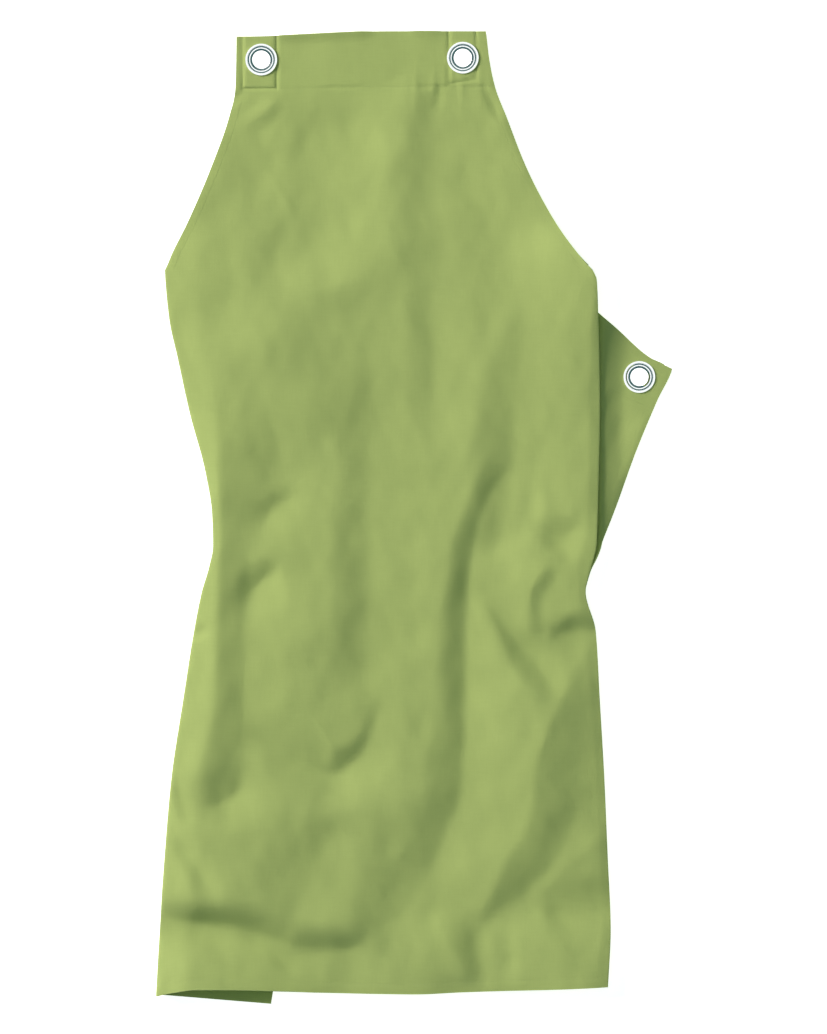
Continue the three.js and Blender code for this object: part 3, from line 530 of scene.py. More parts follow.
RIGHT_CURL_SHARE = 0.7
PUCKER_REACH = 10.0
PUCKER_WAVES = ((1.0, 2.1, 0.0), (0.8, 3.4, 1.3), (0.6, 1.3, 0.4))  # height, length and phase
SQUARES = table(
    "left right low high tilt", (-149.5, -120.0, 376.8, 432.0, 0.0), (31.0, 54.7, 379.2, 432.0, 0.18))
SQUARE_SHARE = 2.1
SQUARE_RAISE = 0.25
SQUARE_STEP = 0.8
RIPPLE_SEED = 11
RIPPLE_LEVELS = (380.0, 330.0)  # the bib is smoother above these
BIB_RIPPLE = 0.35


def random_waves(count, shortest, longest, height):
    """Plane waves in random directions: their x and y rates, phases and heights"""
    rng = np.random.default_rng(RIPPLE_SEED)
    length = np.exp(rng.uniform(math.log(shortest), math.log(longest), count))
    way = rng.uniform(0, math.pi, count)
    phase = rng.uniform(0, 2 * math.pi, count)
    rate = 2 * math.pi / length
    rise = height * length / longest / math.sqrt(count)
    return np.stack([rate * np.cos(way), rate * np.sin(way), phase, rise], axis=1)


RIPPLES = random_waves(count=28, shortest=14.0, longest=90.0, height=0.9)


def ripple(x, y):
    """Slight unevenness all over the cloth"""
    return sum(rise * np.sin(kx * x + ky * y + phase) for kx, ky, phase, rise in RIPPLES)


def groove(distance):
    return -GROOVE_DEPTH * np.exp(-((distance / GROOVE_WIDTH) ** 2))


def pucker(place, distance, height):
    """Small gathers along a seam, which die away from it"""
    wave = sum(share * np.sin(place / length + phase) for share, length, phase in PUCKER_WAVES)
    return height * wave * np.exp(-np.abs(distance) / PUCKER_REACH)


def between(ramps, x):
    """1 along a stretch, with a ramp at its start and its end"""
    return smooth_step(*ramps[0], x) * smooth_step(*ramps[1], x)


def side_hem(from_edge):
    """Relief of a narrow hem at some distances from its edge"""
    doubled = smooth_step(ARMHOLE_STITCH + ARMHOLE_STEP, ARMHOLE_STITCH - ARMHOLE_STEP, from_edge)
    return groove(from_edge - ARMHOLE_STITCH) + HEM_RAISE * doubled


def seam_relief(x, y):
    """What the seams add to the front's height"""
    from_edge = np.minimum(x - front_edge("left", y), front_edge("right", y) - x)
    on_bib = smooth_step(FOLD_LEVEL - BIB_RAMP, FOLD_LEVEL + BIB_RAMP, y)
    below_band = smooth_step(BAND_LEVEL + BAND_RAMP, BAND_LEVEL - BAND_RAMP, y)
    relief = ARMHOLE_SHARE * side_hem(from_edge) * on_bib * below_band
    band = y - BAND_STITCH_LEVEL
    gathered = between(BAND_GATHERED, x)
    shown = BAND_SHARE + (1 - BAND_SHARE) * (gathered + between(BAND_MARKED, x))
    seam = groove(band) + HEM_RAISE * smooth_step(-SEAM_STEP, SEAM_STEP, band)
    relief = relief + shown * seam + pucker(x, band, BAND_PUCKER + GATHER_PUCKER * gathered)
    hem = y - HEM_STITCH_LEVEL
    seam = groove(hem) + HEM_RAISE * smooth_step(SEAM_STEP, -SEAM_STEP, hem)
    relief = relief + HEM_SHARE * seam + pucker(x, hem, HEM_PUCKER)
    curled = between(LEFT_CURL, x) + RIGHT_CURL_SHARE * between(RIGHT_CURL, x)
    relief = relief + CURL_HEIGHT * curled * smooth_step(TOP_LEVEL - CURL_WIDTH, TOP_LEVEL, y)
    for left, right, low, high, tilt in zip(*SQUARES.values()):
        across = np.maximum(left - x, x - right)
        along = np.maximum(low + tilt * (x - left) - y, y - high)
        outline = np.maximum(across, along)
        raised = smooth_step(SQUARE_STEP, -SQUARE_STEP, outline)
        relief = relief + SQUARE_SHARE * groove(outline) + SQUARE_RAISE * raised
    return relief


def front_face(x, y):
    """Height of the front's outer face with its seams"""
    share = mix(BIB_RIPPLE, 1, smooth_step(*RIPPLE_LEVELS, y))
    return front_height(x, y) + seam_relief(x, y) + ripple(x, y) * share


# The right flap: it leaves the fold of the front on a hump, with soft dents beside its eyelet
FLAP_HUMP = 5.5
HUMP_ENDS = ((155.0, 164.0), (186.0, 163.0))
FLAP_DENTS = {
    "low_dent": [(158, 90, -1.5, 14, 24), (172, 101, -1.8, 14, 24), (187, 112, 0, 8, 10)],
    "side_dent": [(172, 60, 0, 8, 8), (180, 78, -1.0, 10, 14), (188, 96, 0, 8, 8)],
    "edge_rise": [(171, 0, 0, 14, 6), (183, 35, 2, 24, 8), (196, 65, 2, 26, 8), (206, 92, 0, 14, 6)],
}
FLAP_PATHS = [sample_path(rows) for rows in FLAP_DENTS.values()]
FLAP_SHOWS = (10.0, 25.0)  # beyond the second fold
FLAP_PUCKER = 0.08
FLAP_RIPPLE = 0.6
FLAP_RIPPLE_SHIFT = (60.0, -90.0)


# Laying the cloth
def edge_shift(x, level):
    """How far the top and the bottom edge leave their levels"""
    near_top = smooth_step(TOP_SLOPE["below"], TOP_LEVEL, level)
    near_hem = smooth_step(HEM_SHAPE_LEVEL, BOTTOM_LEVEL, level)
    slope = -TOP_SLOPE["fall"] * smooth_step(TOP_SLOPE["from"], TOP_SLOPE["to"], x)
    return near_top * slope + near_hem * read(HEM_EDGE, "shift", x, key="x")


def lay_front(x, along):
    return np.stack([x, along + edge_shift(x, along), front_face(x, along)], axis=-1)


def lay_left(beyond, along):
    """Round the left fold, then back under the front"""
    line = read(FOLD_LINES, "left", along)
    turn = np.minimum(beyond / LEFT_RADIUS, math.pi / 2)
    run = np.maximum(beyond - LEFT_BEND, 0)
    angle = np.radians(read(FLAPS, "left_turn", along))
    low = left_layer_height(along)
    z = low + (front_face(line, along) - low) * (1 - np.sin(turn))
    x = line + LEFT_RADIUS * (1 - np.cos(turn)) + run * np.cos(angle)
    return np.stack([x, along + edge_shift(line, along) + run * np.sin(angle), z], axis=-1)


def middle_run(level):
    return read(FOLD_LINES, "right", level) - RIGHT_RADIUS - read(FOLD_LINES, "second", level)


def flap_start(level):
    return RIGHT_BEND + middle_run(level) + INNER_BEND


def lay_right(beyond, along):
    """Round the right fold, left to the second fold, round it, and out to the right again"""
    line = read(FOLD_LINES, "right", along)
    y = along + edge_shift(line, along)
    low = middle_layer_height(along)
    turn = np.minimum(beyond / RIGHT_RADIUS, math.pi / 2)
    run = np.maximum(beyond - RIGHT_BEND, 0)
    first = np.stack([
        line - RIGHT_RADIUS * (1 - np.cos(turn)) - run,
        y,
        low + (front_face(line, along) - low) * (1 - np.sin(turn)),
    ], axis=-1)
    past = run - middle_run(along)
    inner = np.clip(past / INNER_RADIUS, 0, math.pi)
    out = np.maximum(past - INNER_BEND, 0)
    angle = np.radians(read(FLAPS, "flap_turn", along))
    second = np.stack([
        read(FOLD_LINES, "second", along) - INNER_RADIUS * np.sin(inner) + out * np.cos(angle),
        y - out * np.sin(angle),
        low - INNER_RADIUS * (1 - np.cos(inner)) + flap_relief(out, along),
    ], axis=-1)
    return np.where((past > 0)[..., None], second, first)


def flap_relief(out, along):
    """Seams and puckers of the right flap, and its slight unevenness"""
    from_edge = read(FLAPS, "flap_run", along) - out
    uneven = FLAP_RIPPLE * ripple(out + FLAP_RIPPLE_SHIFT[0], along + FLAP_RIPPLE_SHIFT[1])
    waves = pucker(along, from_edge - ARMHOLE_STITCH, FLAP_PUCKER) + uneven
    angle = np.radians(read(FLAPS, "flap_turn", along))
    x = read(FOLD_LINES, "second", along) + out * np.cos(angle)
    y = along - out * np.sin(angle)
    dents = sum(fold_rise(path, CREASE_ROUND, x, y) for path in FLAP_PATHS)
    relief = HEM_SHARE * side_hem(from_edge) + waves + dents
    return relief * smooth_step(*FLAP_SHOWS, out) + FLAP_HUMP * between(HUMP_ENDS, x)


# The net of the cloth: places of its rows and columns
BEND_STEPS = 6
EDGE_COLUMNS = np.array([0, 0.4, 1.5, 3.2, 5.0, 6.3, 7.4, 8.8, 11.0])
FRONT_MIDDLE = 104
FINE_SHARES = np.array([0.1165, 0.1215, 0.1265, 0.879, 0.884, 0.889, 0.994])  # beside the squares' sides
LEFT_STEPS = 12
MIDDLE_STEPS = 4
FLAP_STEPS = 20
ROW_STEP = 3.4
FINE_LEVELS = (BAND_STITCH_LEVEL, HEM_STITCH_LEVEL)
FINE_ROWS = np.array([-7, -4.5, -2.6, -1.3, 0, 1.3, 2.6, 3.8, 5, 6.5, 8.5])
FINE_GAP = 1.0  # from these to the other rows
END_GAP = 0.5  # and to the first and last one
HEM_COLUMNS = 3


def row_levels(high, low):
    """Levels of the net's rows from one level down to another, closer beside a stitch line"""
    count = int(round((high - low) / ROW_STEP))
    levels = np.linspace(high, low, count + 1)
    for seam in FINE_LEVELS:
        if low < seam < high:
            fine = seam + FINE_ROWS
            fine = fine[(fine > low + END_GAP) & (fine < high - END_GAP)]
            away = np.abs(levels - seam) > FINE_ROWS.max() + FINE_GAP
            levels = levels[away | (levels == high) | (levels == low)]
            levels = np.concatenate([levels, fine])
    return np.sort(levels)[::-1]


def front_places(levels):
    """Places across the front of each row's points, with the levels beside them"""
    left = front_edge("left", levels)[:, None]
    right = front_edge("right", levels)[:, None]
    edge = EDGE_COLUMNS[None, :]
    inner = EDGE_COLUMNS[-1]
    even = np.linspace(0, 1, FRONT_MIDDLE + 2)[1:-1]
    shares = np.sort(np.concatenate([even, FINE_SHARES]))[None]
    middle = left + inner + (right - left - 2 * inner) * shares
    x = np.hstack([left + edge, middle, right - edge[:, ::-1]])
    return x, np.broadcast_to(levels[:, None], x.shape)


def flap_levels(levels, top):
    """Levels of the points beyond a fold, where each column starts at the armhole's edge"""
    return top + (levels[:, None] - FOLD_LEVEL) * (top - BOTTOM_LEVEL) / (FOLD_LEVEL - BOTTOM_LEVEL)


def steps(count):
    return np.arange(1, count + 1) / count


HEM_STEPS = HEM_WIDTH * steps(HEM_COLUMNS)


def left_steps(level):
    """Distances beyond the left fold of the net's columns"""
    run = read(FLAPS, "left_run", level) - HEM_WIDTH
    flat = [LEFT_BEND + run * share for share in steps(LEFT_STEPS)]
    hem = [flat[-1] + step for step in HEM_STEPS]
    return [LEFT_BEND * share + 0 * run for share in steps(BEND_STEPS)] + flat + hem


def right_steps(level):
    """Distances beyond the right fold of the net's columns"""
    middle = middle_run(level)
    run = read(FLAPS, "flap_run", level) - HEM_WIDTH
    start = flap_start(level)
    places = [RIGHT_BEND * share + 0 * run for share in steps(BEND_STEPS)]
    places += [RIGHT_BEND + middle * share for share in steps(MIDDLE_STEPS)]
    places += [RIGHT_BEND + middle + INNER_BEND * share for share in steps(BEND_STEPS)]
    places += [start + run * share for share in steps(FLAP_STEPS)]
    return places + [start + run + step for step in HEM_STEPS]


def flap_places(fold_steps, armhole_end, levels):
    """Distances beyond a fold of each row's points, with their levels"""
    first = np.array([float(step) for step in fold_steps(np.array(WAIST_LEVEL))])
    level = flap_levels(levels, read(armhole_end, "level", first, key="beyond"))
    return np.stack([fold_steps(level[:, k])[k] for k in range(level.shape[1])], axis=1), level


LEFT_PART, FRONT_PART, RIGHT_PART = range(3)


class Net:
    """The laid cloth: points, their places on the cut, and a grid of point numbers with -1 for none"""

    def __init__(self):
        upper = row_levels(TOP_LEVEL, FOLD_LEVEL)[:-1]
        lower = row_levels(FOLD_LEVEL, BOTTOM_LEVEL)
        self.levels = np.concatenate([upper, lower])
        front_x, front_level = front_places(self.levels)
        left_beyond, left_level = flap_places(left_steps, LEFT_ARMHOLE_END, lower)
        right_beyond, right_level = flap_places(right_steps, RIGHT_ARMHOLE_END, lower)
        left_beyond, left_level = left_beyond[:, ::-1], left_level[:, ::-1]
        self.left_count = left_beyond.shape[1]
        self.front_end = self.left_count + front_x.shape[1]
        self.first_flap_row = len(upper)
        rows = len(self.levels)
        self.grid = np.full((rows, self.front_end + right_beyond.shape[1]), -1)
        flap_rows = slice(self.first_flap_row, rows)
        parts = [
            (flap_rows, slice(0, self.left_count), lay_left(left_beyond, left_level),
             read(FOLD_LINES, "left", left_level) - left_beyond, left_level),
            (slice(0, rows), slice(self.left_count, self.front_end), lay_front(front_x, front_level),
             front_x, front_level),
            (flap_rows, slice(self.front_end, None), lay_right(right_beyond, right_level),
             read(FOLD_LINES, "right", right_level) + right_beyond, right_level),
        ]
        points, cut, part = [], [], []
        count = 0
        for number, (row_range, column_range, place, across, level) in enumerate(parts):
            size = across.size
            self.grid[row_range, column_range] = count + np.arange(size).reshape(across.shape)
            count += size
            points.append(place.reshape(-1, 3))
            cut.append(np.stack([across.ravel(), level.ravel()], axis=1))
            part.append(np.full(size, number))
        self.points = np.vstack(points)
        self.cut = np.vstack(cut)
        self.part = np.concatenate(part)
        self.quads = self.stretch(slice(None), slice(None))
        self.set_normals()

    def stretch(self, rows, columns):
        """Quads of some rows and columns of the grid"""
        g = self.grid[rows, columns]
        quads = np.stack([g[:-1, :-1], g[1:, :-1], g[1:, 1:], g[:-1, 1:]], axis=-1).reshape(-1, 4)
        return quads[(quads >= 0).all(axis=1)]

    def row_at(self, level):
        return int(np.argmin(np.abs(self.levels - level)))

    def set_normals(self):
        a, b, c, d = (self.points[self.quads[:, k]] for k in range(4))
        face = np.cross(c - a, d - b)
        self.normals = np.zeros_like(self.points)
        for k in range(4):
            np.add.at(self.normals, self.quads[:, k], face)
        length = np.linalg.norm(self.normals, axis=1, keepdims=True)
        self.normals /= np.where(length > 0, length, 1)

    def cut_hole(self, centre, radius, part):
        """Takes out the quads round an eyelet, and sets the edge of the hole on a circle"""
        offset = self.points[:, :2] - centre[:2]
        middle = offset[self.quads].mean(axis=1)
        gone = (np.hypot(*middle.T) < radius) & (self.part[self.quads] == part).all(axis=1)
        rim = np.intersect1d(self.quads[gone], self.quads[~gone])
        distance = np.hypot(*offset[rim].T)[:, None]
        self.points[rim, :2] = centre[:2] + offset[rim] / distance * radius
        self.quads = self.quads[~gone]


# Making the pieces
FRAME_BODY = "root"
SMOOTH_ANGLE = 40  # degrees from which an edge of the cloth is sharp
made = {}


def make_mesh(name, points, faces, uv, smooth_angle=SMOOTH_ANGLE):
    """A mesh object from points in millimetres, lists of faces, and places on the cut for the weave"""
    mesh = bpy.data.meshes.new(name)
    mesh.from_pydata((np.asarray(points) * MM).tolist(), [], faces)
    mesh.validate()
    layer = mesh.uv_layers.new(name="cut")
    loops = np.zeros(len(mesh.loops), np.int32)
    mesh.loops.foreach_get("vertex_index", loops)
    layer.data.foreach_set("uv", (np.asarray(uv)[loops] * MM).astype(np.float32).ravel())
    mesh.shade_smooth()
    mesh.set_sharp_from_angle(angle=math.radians(smooth_angle))
    piece = bpy.data.objects.new(name, mesh)
    bpy.context.scene.collection.objects.link(piece)
    made[name] = piece


def make_layer(name, net, quads, depth):
    """A closed layer of cloth, this far below the net's outer face"""
    used = np.unique(quads)
    count = len(used)
    place = np.full(len(net.points), -1)
    place[used] = np.arange(count)
    outer = net.points[used] - net.normals[used] * depth
    inner = outer - net.normals[used] * WALL
    local = place[quads]
    edges = np.concatenate([local[:, [k, (k + 1) % 4]] for k in range(4)])
    key = edges[:, 0] * count + edges[:, 1]
    back = edges[:, 1] * count + edges[:, 0]
    border = edges[~np.isin(key, back)]
    walls = np.stack([border[:, 1], border[:, 0], border[:, 0] + count, border[:, 1] + count], axis=1)
    faces = np.concatenate([local, local[:, ::-1] + count, walls])
    uv = np.vstack([net.cut[used], net.cut[used]])
    make_mesh(name, np.vstack([outer, inner]), faces.tolist(), uv)


def circle(sides):
    angle = 2 * math.pi * np.arange(sides) / sides
    return np.stack([np.cos(angle), np.sin(angle)], axis=1)


def at_height(ring, z):
    return np.hstack([ring, np.full((len(ring), 1), z)])


def loop_faces(loops, sides):
    """Quads between loops of points that follow each other, the first after the last"""
    faces = []
    for i in range(loops):
        k = (i + 1) % loops
        for j in range(sides):
            n = (j + 1) % sides
            faces.append([i * sides + j, i * sides + n, k * sides + n, k * sides + j])
    return faces


# Eyelets: place, height of the cloth if it isn't the front's, layers, facing down, turn, part of the net
HOLE_RADIUS = 7.9
BARREL_RADIUS = 8.7
CLOTH_HOLE_RADIUS = 9.4
LIP_RADIUS = 11.9
LIP_SHOULDER = 11.0  # from here the lip slopes down to its outer edge
LIP_CREST = 10.2
LIP_INNER = 9.4  # from here it slopes down into the hole
LIP_HEIGHT = 2.3
CREST_STEPS = ((0.4, 0.03), (0.0, 0.0), (-0.4, 0.03))  # from the crest: outwards, down
SHOULDER_DROP = 0.15
SLOPE_DROP = 0.79  # of the outer slope
CONE_DROP = 1.33  # of the inner slope
WASHER_RADIUS = 14.0
WASHER_TOP = 0.6
RIM_HEIGHT = 1.3
RIM_INNER = 12.2
WASHER_HOLE = 9.2
METAL_ROUND = 0.15  # of the sharp edges
FLANGE_WALL = 0.7
FLANGE_STEPS = 9
SEAT = 0.1  # metal over cloth
EYELET_SIDES = 96
METAL_BREAK = 24  # degrees from which an edge of the metal is sharp
PATCH_SIZE = 38.0
PATCH_WALL = 0.8
PATCH_SIDES = 64
PATCH_SQUARENESS = 9.0  # 2 would be round
PATCH_RINGS = (0, 0.3, 0.6, 0.85, 1)  # from the hole to the edge
EYELET_COLUMNS = ("name", "x", "y", "z", "layers", "down", "turn", "part")
EYELETS = [dict(zip(EYELET_COLUMNS, row)) for row in (
    ("bib_left", -133.3, 400.4, None, 3, False, 0.0, FRONT_PART),
    ("bib_right", 43.1, 402.0, None, 3, False, 0.0, FRONT_PART),
    ("waist_left", -49.7, 158.6, LEFT_LIFT, 2, True, 10.0, LEFT_PART),
    ("waist_right", 197.7, 122.6, FLAP_HEIGHT + RIGHT_LIFT, 2, False, -22.3, RIGHT_PART),
)]


def eyelet_profile(stack):
    """Barrel with back flange and rolled lip; height 0 is the cloth's outer face"""
    back = -stack - SEAT
    foot = WASHER_TOP + SEAT
    shoulder = LIP_HEIGHT - SHOULDER_DROP
    half = FLANGE_WALL / 2
    angle = np.radians(np.linspace(-90, 90, FLANGE_STEPS))
    rim = WASHER_RADIUS - half + half * np.cos(angle)
    flange = np.stack([rim, back - half + half * np.sin(angle)], axis=1)
    low = [[HOLE_RADIUS, back - FLANGE_WALL]]
    barrel = [[BARREL_RADIUS, back], [BARREL_RADIUS, foot]]
    outer = [[LIP_RADIUS, foot], [LIP_RADIUS, shoulder - SLOPE_DROP], [LIP_SHOULDER, shoulder]]
    crown = [[LIP_CREST + out, LIP_HEIGHT - drop] for out, drop in CREST_STEPS]
    cone = [[LIP_INNER, shoulder], [HOLE_RADIUS, shoulder - CONE_DROP]]
    return np.vstack([low, flange, barrel, outer, crown, cone])


def washer_profile():
    """Ring under the lip with a broad raised rim"""
    edge = WASHER_RADIUS - METAL_ROUND
    bevel = RIM_HEIGHT - 0.5 * METAL_ROUND
    foot = [[WASHER_HOLE, SEAT], [edge, SEAT], [WASHER_RADIUS, SEAT + METAL_ROUND]]
    side = [[WASHER_RADIUS, RIM_HEIGHT - 2 * METAL_ROUND], [edge, bevel]]
    rim = [[(WASHER_RADIUS + RIM_INNER) / 2, RIM_HEIGHT], [RIM_INNER + METAL_ROUND, bevel]]
    ledge = [[RIM_INNER, WASHER_TOP], [WASHER_HOLE, WASHER_TOP]]
    return np.vstack([foot, side, rim, ledge])


def turned(profile):
    """Points and faces of a closed ring turned about Z from a closed profile, given anticlockwise"""
    ring = circle(EYELET_SIDES)
    points = np.concatenate([at_height(ring * r, z) for r, z in profile])
    return points, loop_faces(len(profile), EYELET_SIDES)


def patch_plate():
    """The square of cloth with round corners and a round hole, as rings from the hole to its edge"""
    way = circle(PATCH_SIDES)
    corner = (np.abs(way) ** PATCH_SQUARENESS).sum(axis=1, keepdims=True) ** (1 / PATCH_SQUARENESS)
    edge = way * (PATCH_SIZE / 2 / corner)
    hole = way * CLOTH_HOLE_RADIUS
    rings = [hole + (edge - hole) * share for share in PATCH_RINGS]
    loops = [at_height(ring, 0) for ring in rings] + [at_height(ring, -PATCH_WALL) for ring in rings[::-1]]
    return np.vstack(loops), [[a, d, c, b] for a, b, c, d in loop_faces(len(loops), PATCH_SIDES)]


def turn_about_z(points, degrees):
    c, s = math.cos(math.radians(degrees)), math.sin(math.radians(degrees))
    return points @ np.array([[c, s, 0], [-s, c, 0], [0, 0, 1]])


def make_eyelet(eyelet):
    """Eyelet, washer and the square of cloth behind them"""
    stack = eyelet["layers"] * WALL + (eyelet["layers"] - 1) * SEAM_GAP
    place = np.array([eyelet["x"], eyelet["y"], eyelet["z"]])
    flip = np.array([1, -1, -1]) if eyelet["down"] else np.array([1, 1, 1])
    plate, plate_faces = patch_plate()
    plate = turn_about_z(plate, eyelet["turn"] * flip[1]) - [0, 0, stack - PATCH_WALL]
    pieces = [
        ("eyelet_ring_", *turned(eyelet_profile(stack))),
        ("washer_ring_", *turned(washer_profile())),
        ("patch_cloth_", plate, plate_faces),
    ]
    for prefix, points, faces in pieces:
        uv = points[:, :2] + place[:2]
        make_mesh(prefix + eyelet["name"], points * flip + place, faces, uv, METAL_BREAK)


# Stitches: small beads of thread along the seams
STITCH_LENGTH = 2.5
STITCH_PITCH = 3.1
STITCH_WIDTH = 0.5
STITCH_HEIGHT = 0.35
STITCH_SMOOTH = 80
BEAD_RINGS = 5
BEAD_SIDES = 6
BEAD_POINT = 0.96  # 0 for blunt ends, 1 for sharp ones
LINE_STEP = 1.2
LOOK_AHEAD = 0.5
BAND_STITCH_END = 4.0  # from the front's edges
HEM_STITCH_END = 3.0
SQUARE_STITCH_END = 3.0  # from the top edge
ARMHOLE_STITCH_ENDS = (BAND_LEVEL - 4, FOLD_LEVEL + 2)
ARMHOLE_POINTS = 60
INNER_HEM_START = 20.0  # beyond the left fold
INNER_END = 1.0
INNER_HEM_POINTS = 60
INNER_SIDE_POINTS = 12
FLAP_SIDE_LEVELS = (158, -20)
FLAP_SIDE_POINTS = 120
FLAP_UPPER_START = 80.0  # beyond the right fold
FLAP_UPPER_END = 8.0  # from the flap's end
FLAP_UPPER_POINTS = 60
FLAP_SQUARE = (46.0, 10.0)  # from the flap's end
FLAP_SQUARE_LEVEL = 132.0
FLAP_SQUARE_POINTS = 30


def bead():
    """A rounded stitch of length 1 along X, width 1 and height 1"""
    along = np.linspace(-0.5, 0.5, BEAD_RINGS)
    size = np.sqrt(np.maximum(1 - (along * 2) ** 2 * BEAD_POINT, 0))
    points = [[x, 0.5 * s * c, 0.5 * s * d] for x, s in zip(along, size) for c, d in circle(BEAD_SIDES)]
    sides = [face[::-1] for face in loop_faces(BEAD_RINGS, BEAD_SIDES)[:-BEAD_SIDES]]
    first = list(range(BEAD_SIDES))
    last = list(range(len(points) - BEAD_SIDES, len(points)))
    return np.array(points), sides + [first, last[::-1]]


def walk(line):
    """Centres and directions of stitches along a line of points"""
    step = np.linalg.norm(np.diff(line, axis=0), axis=1)
    run = np.concatenate([[0], np.cumsum(step)])
    at = np.arange(STITCH_PITCH / 2, run[-1], STITCH_PITCH)
    behind, centre, ahead = (
        np.stack([np.interp(at + shift, run, line[:, k]) for k in range(3)], axis=1)
        for shift in (-LOOK_AHEAD, 0, LOOK_AHEAD))
    way = ahead - behind
    return centre, way / np.linalg.norm(way, axis=1, keepdims=True)


def make_stitches(name, lines):
    """One mesh of all the stitches along some lines that lie on cloth facing up"""
    shape, shape_faces = bead()
    points, faces = [], []
    for line in lines:
        for centre, way in zip(*walk(line)):
            side = np.cross([0, 0, 1], way)
            side /= np.linalg.norm(side)
            up = np.cross(way, side)
            stitch = shape * [STITCH_LENGTH, STITCH_WIDTH, STITCH_HEIGHT]
            faces += [[v + len(points) * len(shape) for v in face] for face in shape_faces]
            points.append(centre + stitch @ np.stack([way, side, up]))
    points = np.vstack(points)
    make_mesh(name, points, faces, points[:, :2], STITCH_SMOOTH)


def front_line(places):
    """A line on the front through some places, with points close together"""
    places = np.asarray(places, float)
    dense = [places[:1]]
    for a, b in zip(places[:-1], places[1:]):
        count = max(2, int(np.linalg.norm(b - a) / LINE_STEP))
        dense.append(a + (b - a) * steps(count)[:, None])
    dense = np.vstack(dense)
    return lay_front(dense[:, 0], dense[:, 1])


def edge_places(level, gap):
    """Places a little inside both edges of the front at a level"""
    left, right = (float(front_edge(side, np.array(level))) for side in ("left", "right"))
    return left + gap, right - gap


def seam_lines():
    """The visible stitch lines by seam"""
    bib = [front_line([(x, BAND_STITCH_LEVEL) for x in edge_places(BAND_LEVEL, BAND_STITCH_END)])]
    top = TOP_LEVEL - SQUARE_STITCH_END
    for left, right, low, high, tilt in zip(*SQUARES.values()):
        end = low + tilt * (right - left)
        bib.append(front_line([(left, top), (left, low), (right, end), (right, top)]))
    levels = np.linspace(*ARMHOLE_STITCH_ENDS, ARMHOLE_POINTS)
    armholes = [
        front_line(np.stack([front_edge("left", levels) + ARMHOLE_STITCH, levels], axis=1)),
        front_line(np.stack([front_edge("right", levels) - ARMHOLE_STITCH, levels], axis=1)),
    ]
    hem = front_line([(x, HEM_STITCH_LEVEL) for x in edge_places(HEM_STITCH_LEVEL, HEM_STITCH_END)])
    return {
        "bib_stitches": bib,
        "armhole_stitches": armholes,
        "hem_stitches": [hem, *inner_lines()],
        "flap_stitches": flap_lines(),
    }


def inner_lines():
    """Stitch lines on the inside of the left flap, along its hem and its side, which show below the front"""
    levels = np.linspace(HEM_STITCH_LEVEL, BOTTOM_LEVEL + INNER_END, INNER_SIDE_POINTS)
    reach = LEFT_BEND + read(FLAPS, "left_run", levels)
    beyond = np.linspace(LEFT_BEND + INNER_HEM_START, reach[0] - INNER_END, INNER_HEM_POINTS)
    along = lay_left(beyond, np.full(INNER_HEM_POINTS, HEM_STITCH_LEVEL))
    side = lay_left(reach - ARMHOLE_STITCH, levels)
    return [line + [0, 0, 2 * WALL + SEAM_GAP] for line in (along, side)]


def flap_lines():
    """Stitch lines on the right flap: along its side, along its upper edge and under the eyelet's square"""
    level = np.linspace(*FLAP_SIDE_LEVELS, FLAP_SIDE_POINTS)
    side = lay_right(flap_start(level) + read(FLAPS, "flap_run", level) - ARMHOLE_STITCH, level)
    reach = float(flap_start(WAIST_LEVEL) + read(FLAPS, "flap_run", WAIST_LEVEL))
    beyond = np.linspace(FLAP_UPPER_START, reach - FLAP_UPPER_END, FLAP_UPPER_POINTS)
    upper = lay_right(beyond, read(RIGHT_ARMHOLE_END, "level", beyond, key="beyond") - ARMHOLE_STITCH)
    square = np.linspace(reach - FLAP_SQUARE[0], reach - FLAP_SQUARE[1], FLAP_SQUARE_POINTS)
    below = lay_right(square, np.full(FLAP_SQUARE_POINTS, FLAP_SQUARE_LEVEL))
    return [side, upper, below]


# The panel, its facing and its hems
SIDE_HEM_LEVEL = 112.0  # upper end of the side hems


def make_cloth():
    net = Net()
    for eyelet in EYELETS:
        if eyelet["z"] is None:
            eyelet["z"] = float(front_face(np.array(eyelet["x"]), np.array(eyelet["y"])))
        net.cut_hole(np.array([eyelet["x"], eyelet["y"]]), CLOTH_HOLE_RADIUS, eyelet["part"])
    net.set_normals()
    make_layer("apron_panel_cloth", net, net.quads, 0)
    band_rows = net.row_at(BAND_LEVEL) + 1
    hem_row = net.row_at(HEM_LINE_LEVEL)
    edge = int(np.searchsorted(EDGE_COLUMNS, HEM_WIDTH)) + 1
    hem_columns = HEM_COLUMNS + 1
    armhole = slice(band_rows + 1, net.first_flap_row)
    side = slice(net.row_at(SIDE_HEM_LEVEL), hem_row - 1)
    strips = {
        "bib_facing_cloth": (slice(0, band_rows), slice(net.left_count, net.front_end)),
        "armhole_hem_left_cloth": (armhole, slice(net.left_count, net.left_count + edge)),
        "armhole_hem_right_cloth": (armhole, slice(net.front_end - edge, net.front_end)),
        "side_hem_left_cloth": (side, slice(0, hem_columns)),
        "side_hem_right_cloth": (side, slice(-hem_columns, None)),
        "bottom_hem_cloth": (slice(hem_row, None), slice(None)),
    }
    kept = {tuple(quad) for quad in net.quads.tolist()}
    for name, (rows, columns) in strips.items():
        quads = np.array([quad for quad in net.stretch(rows, columns).tolist() if tuple(quad) in kept])
        make_layer(name, net, quads, WALL + SEAM_GAP)


